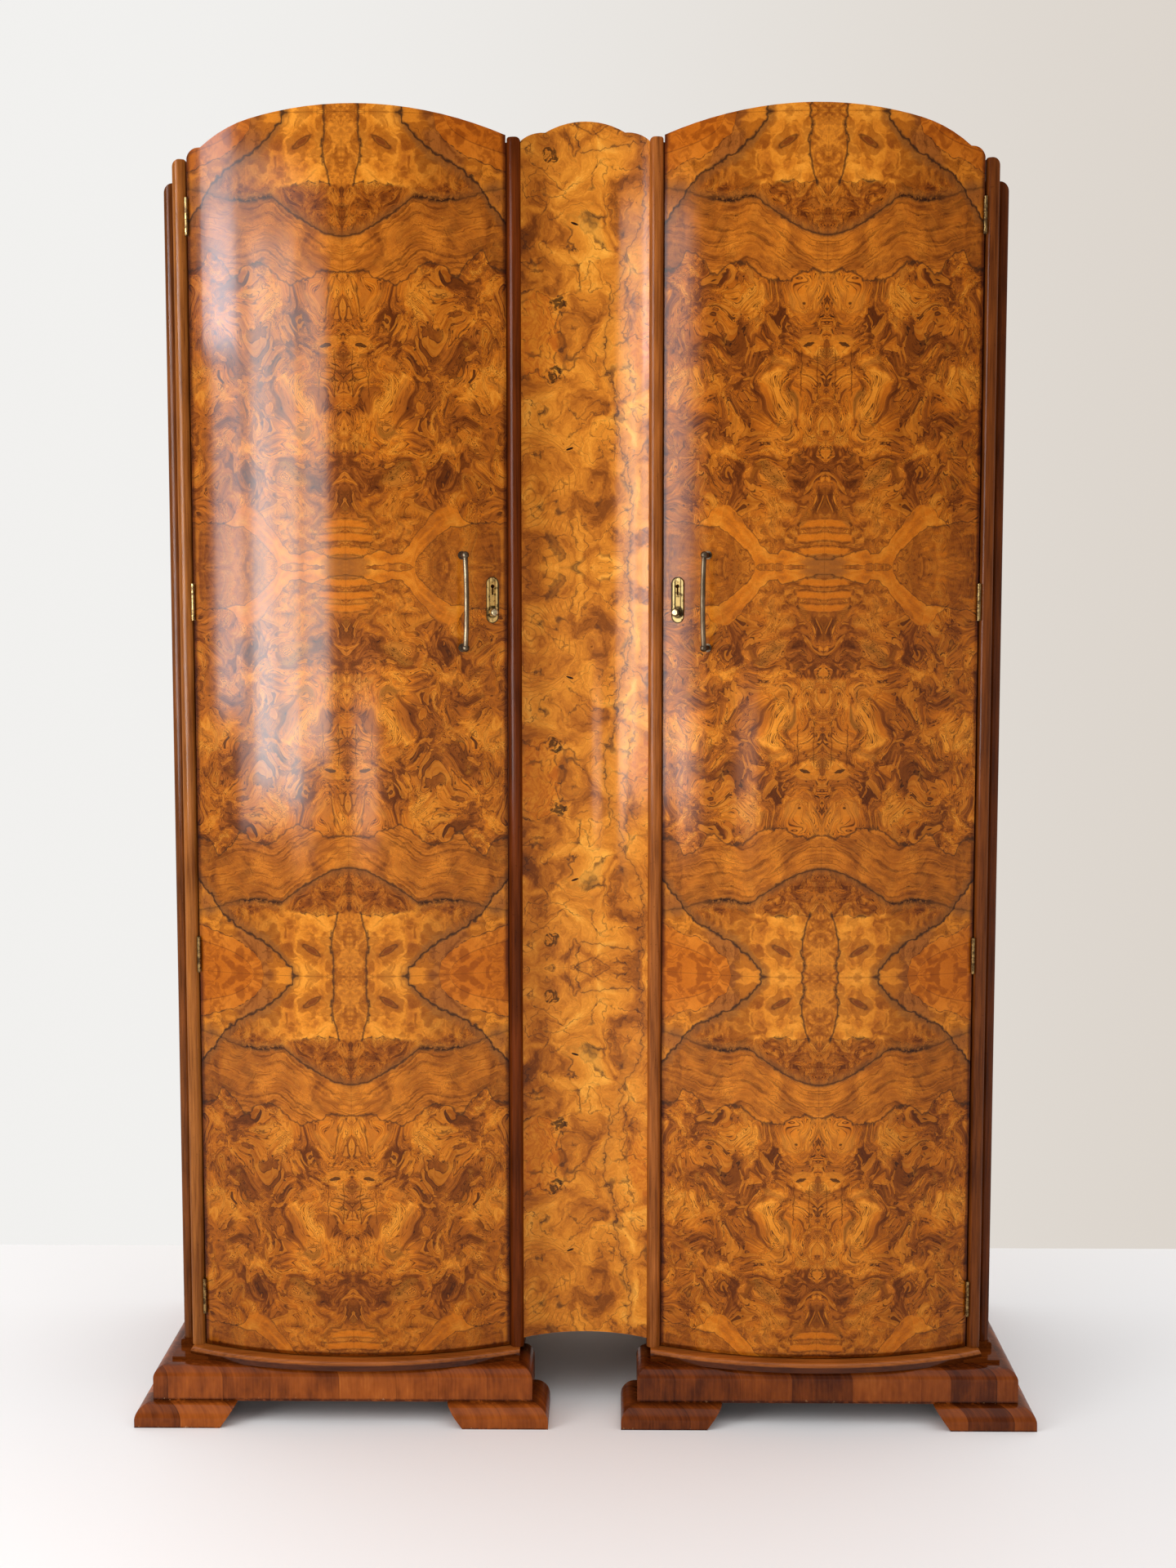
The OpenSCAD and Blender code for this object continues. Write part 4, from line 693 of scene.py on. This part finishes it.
plate_finish().wear(*both("key_plate"))
handle_finish().wear(*both("handle"))
metal("rail_brass", (0.62, 0.42, 0.16), (0.16, 0.09, 0.035), 0.26, 0.48).wear("hanging_rail", "strike_plates")
metal("hinge_brass", (0.40, 0.25, 0.09), (0.10, 0.055, 0.025), 0.32, 0.50, 4.0).wear(
    "frame_hinge_leaves", "hinge_pins", "frame_screws",
    *both("door_hinge_leaves", "door_screws", "latch_bolt", "dead_bolt"))
metal("socket_brass", (0.34, 0.22, 0.10), (0.075, 0.042, 0.02), 0.34).wear("rail_sockets", "rail_strap")
metal("knob_brass", (0.62, 0.48, 0.28), (0.16, 0.10, 0.05), 0.22, 0.46, 3.0).wear("left_turn_knob")
# Painted shade: the right knob wears a darker copy of the knob brass
metal("shaded_knob_brass", (0.26, 0.18, 0.095), (0.10, 0.06, 0.03), 0.24, 0.46, 3.0).wear("right_turn_knob")
metal("lock_steel", (0.45, 0.44, 0.42), (0.16, 0.13, 0.11), 0.38).wear(*both("lock_case", "lock_cover", "follower"))


# Floor, lamps, room and camera, in metres

def sheet(name, corners, material):
    form = bmesh.new()
    form.faces.new([form.verts.new(corner) for corner in corners])
    mesh = bpy.data.meshes.new(name)
    form.to_mesh(mesh)
    form.free()
    mesh.materials.append(material)
    piece = bpy.data.objects.new(name, mesh)
    bpy.context.scene.collection.objects.link(piece)


sheet("floor", [(-6, -6, 0), (6, -6, 0), (6, 0.56, 0), (-6, 0.56, 0)],
      Finish("pale_floor", roughness=0.8, base_color=(0.92, 0.915, 0.91, 1)).material)


def softbox(name, place, aim, size, watts, colour=(1, 1, 1), spread=180, mirrored=False):
    """A lamp over a rectangle: it either lights the wardrobe, or is only seen mirrored in the polish."""
    lamp = bpy.data.lights.new(name, "AREA")
    lamp.shape = "RECTANGLE"
    lamp.size, lamp.size_y = size
    lamp.energy = watts
    lamp.color = colour
    lamp.spread = math.radians(spread)
    piece = bpy.data.objects.new(name, lamp)
    piece.location = place
    piece.rotation_euler = (Vector(aim) - Vector(place)).to_track_quat("-Z", "Y").to_euler()
    piece.visible_camera = False
    piece.visible_glossy = mirrored
    piece.visible_diffuse = not mirrored
    bpy.context.scene.collection.objects.link(piece)


softbox("window", (-2.4, -2.1, 1.30), (0.0, -0.1, 0.85), (1.6, 1.5), 34)
softbox("front", (0.4, -4.2, 0.8), (0.0, 0.0, 0.6), (3.4, 1.4), 26)
# Panes of the window as the left door mirrors them, and three panes for the other polished curves
for name, place, aim, size, watts, colour, spread in (
        ("pane_0", (-1.27, -0.84, 1.82), (-0.50, -0.22, 1.88), (0.25, 0.42), 1.05, (0.80, 0.88, 1.0), 40),
        ("pane_1", (-1.24, -0.87, 1.41), (-0.49, -0.22, 1.47), (0.20, 0.92), 0.72, (0.80, 0.90, 1.0), 40),
        ("pane_2", (-1.02, -1.04, 1.31), (-0.44, -0.22, 1.37), (0.18, 1.00), 0.90, (0.78, 0.94, 1.0), 40),
        ("pane_3", (-0.86, -1.13, 1.30), (-0.41, -0.22, 1.36), (0.16, 1.03), 0.66, (0.78, 0.96, 1.0), 40),
        ("pane_4", (-0.67, -1.20, 1.31), (-0.37, -0.22, 1.37), (0.18, 0.89), 0.52, (0.80, 0.96, 1.0), 40),
        ("low_pane_left", (-0.33, -1.74, 0.80), (-0.30, -0.24, 0.93), (0.23, 0.27), 0.28, (1.0, 0.9, 0.85), 60),
        ("low_pane_right", (-0.85, -1.33, 0.79), (0.14, -0.20, 0.92), (0.20, 0.26), 0.20, (1.0, 0.9, 0.85), 60),
        ("pane_hollow", (-0.70, -0.82, 1.33), (0.07, -0.18, 1.33), (0.55, 1.10), 4.6, (0.85, 0.94, 1.0), 80)):
    softbox(name, place, aim, size, watts, colour, spread, mirrored=True)

# A pale wall behind the wardrobe, the darker rest of the room before it and the ceiling
world = bpy.data.worlds.new("room")
world.use_nodes = True
bpy.context.scene.world = world
room = Graph(world.node_tree)
way_x, way_y, way_z = room.split(room.node("ShaderNodeTexCoord", output="Generated"))
wall = room.mix(way_x.over(-0.25, 0.32), (0.885, 0.877, 0.860), (0.71, 0.655, 0.595))
before = room.mix(way_z.over(0.02, -0.02), (0.28, 0.29, 0.31), (0.84, 0.82, 0.81))
around = room.mix(way_y.over(-0.15, 0.25), before, wall)
overhead = room.mix(way_z.over(0.35, 0.85), around, (1.24, 1.23, 1.24))
light = room.node("ShaderNodeBackground", inputs={"Color": overhead})
room.tree.links.new(light.socket, room.tree.nodes.new("ShaderNodeOutputWorld").inputs["Surface"])

camera = bpy.data.cameras.new("camera")
camera.sensor_fit = "AUTO"
camera.sensor_width = 36
camera.lens = 48.75
seat = bpy.data.objects.new("camera", camera)
pitch, yaw = 0.094, -0.012      # down and to the right, in radians
look = Vector((math.sin(yaw) * math.cos(pitch), math.cos(yaw) * math.cos(pitch), -math.sin(pitch)))
seat.location = (0.0397, -3.1621, 1.1865)
seat.rotation_euler = look.to_track_quat("-Z", "Y").to_euler()
bpy.context.scene.collection.objects.link(seat)
bpy.context.scene.camera = seat
bpy.context.scene.view_settings.view_transform = "Standard"
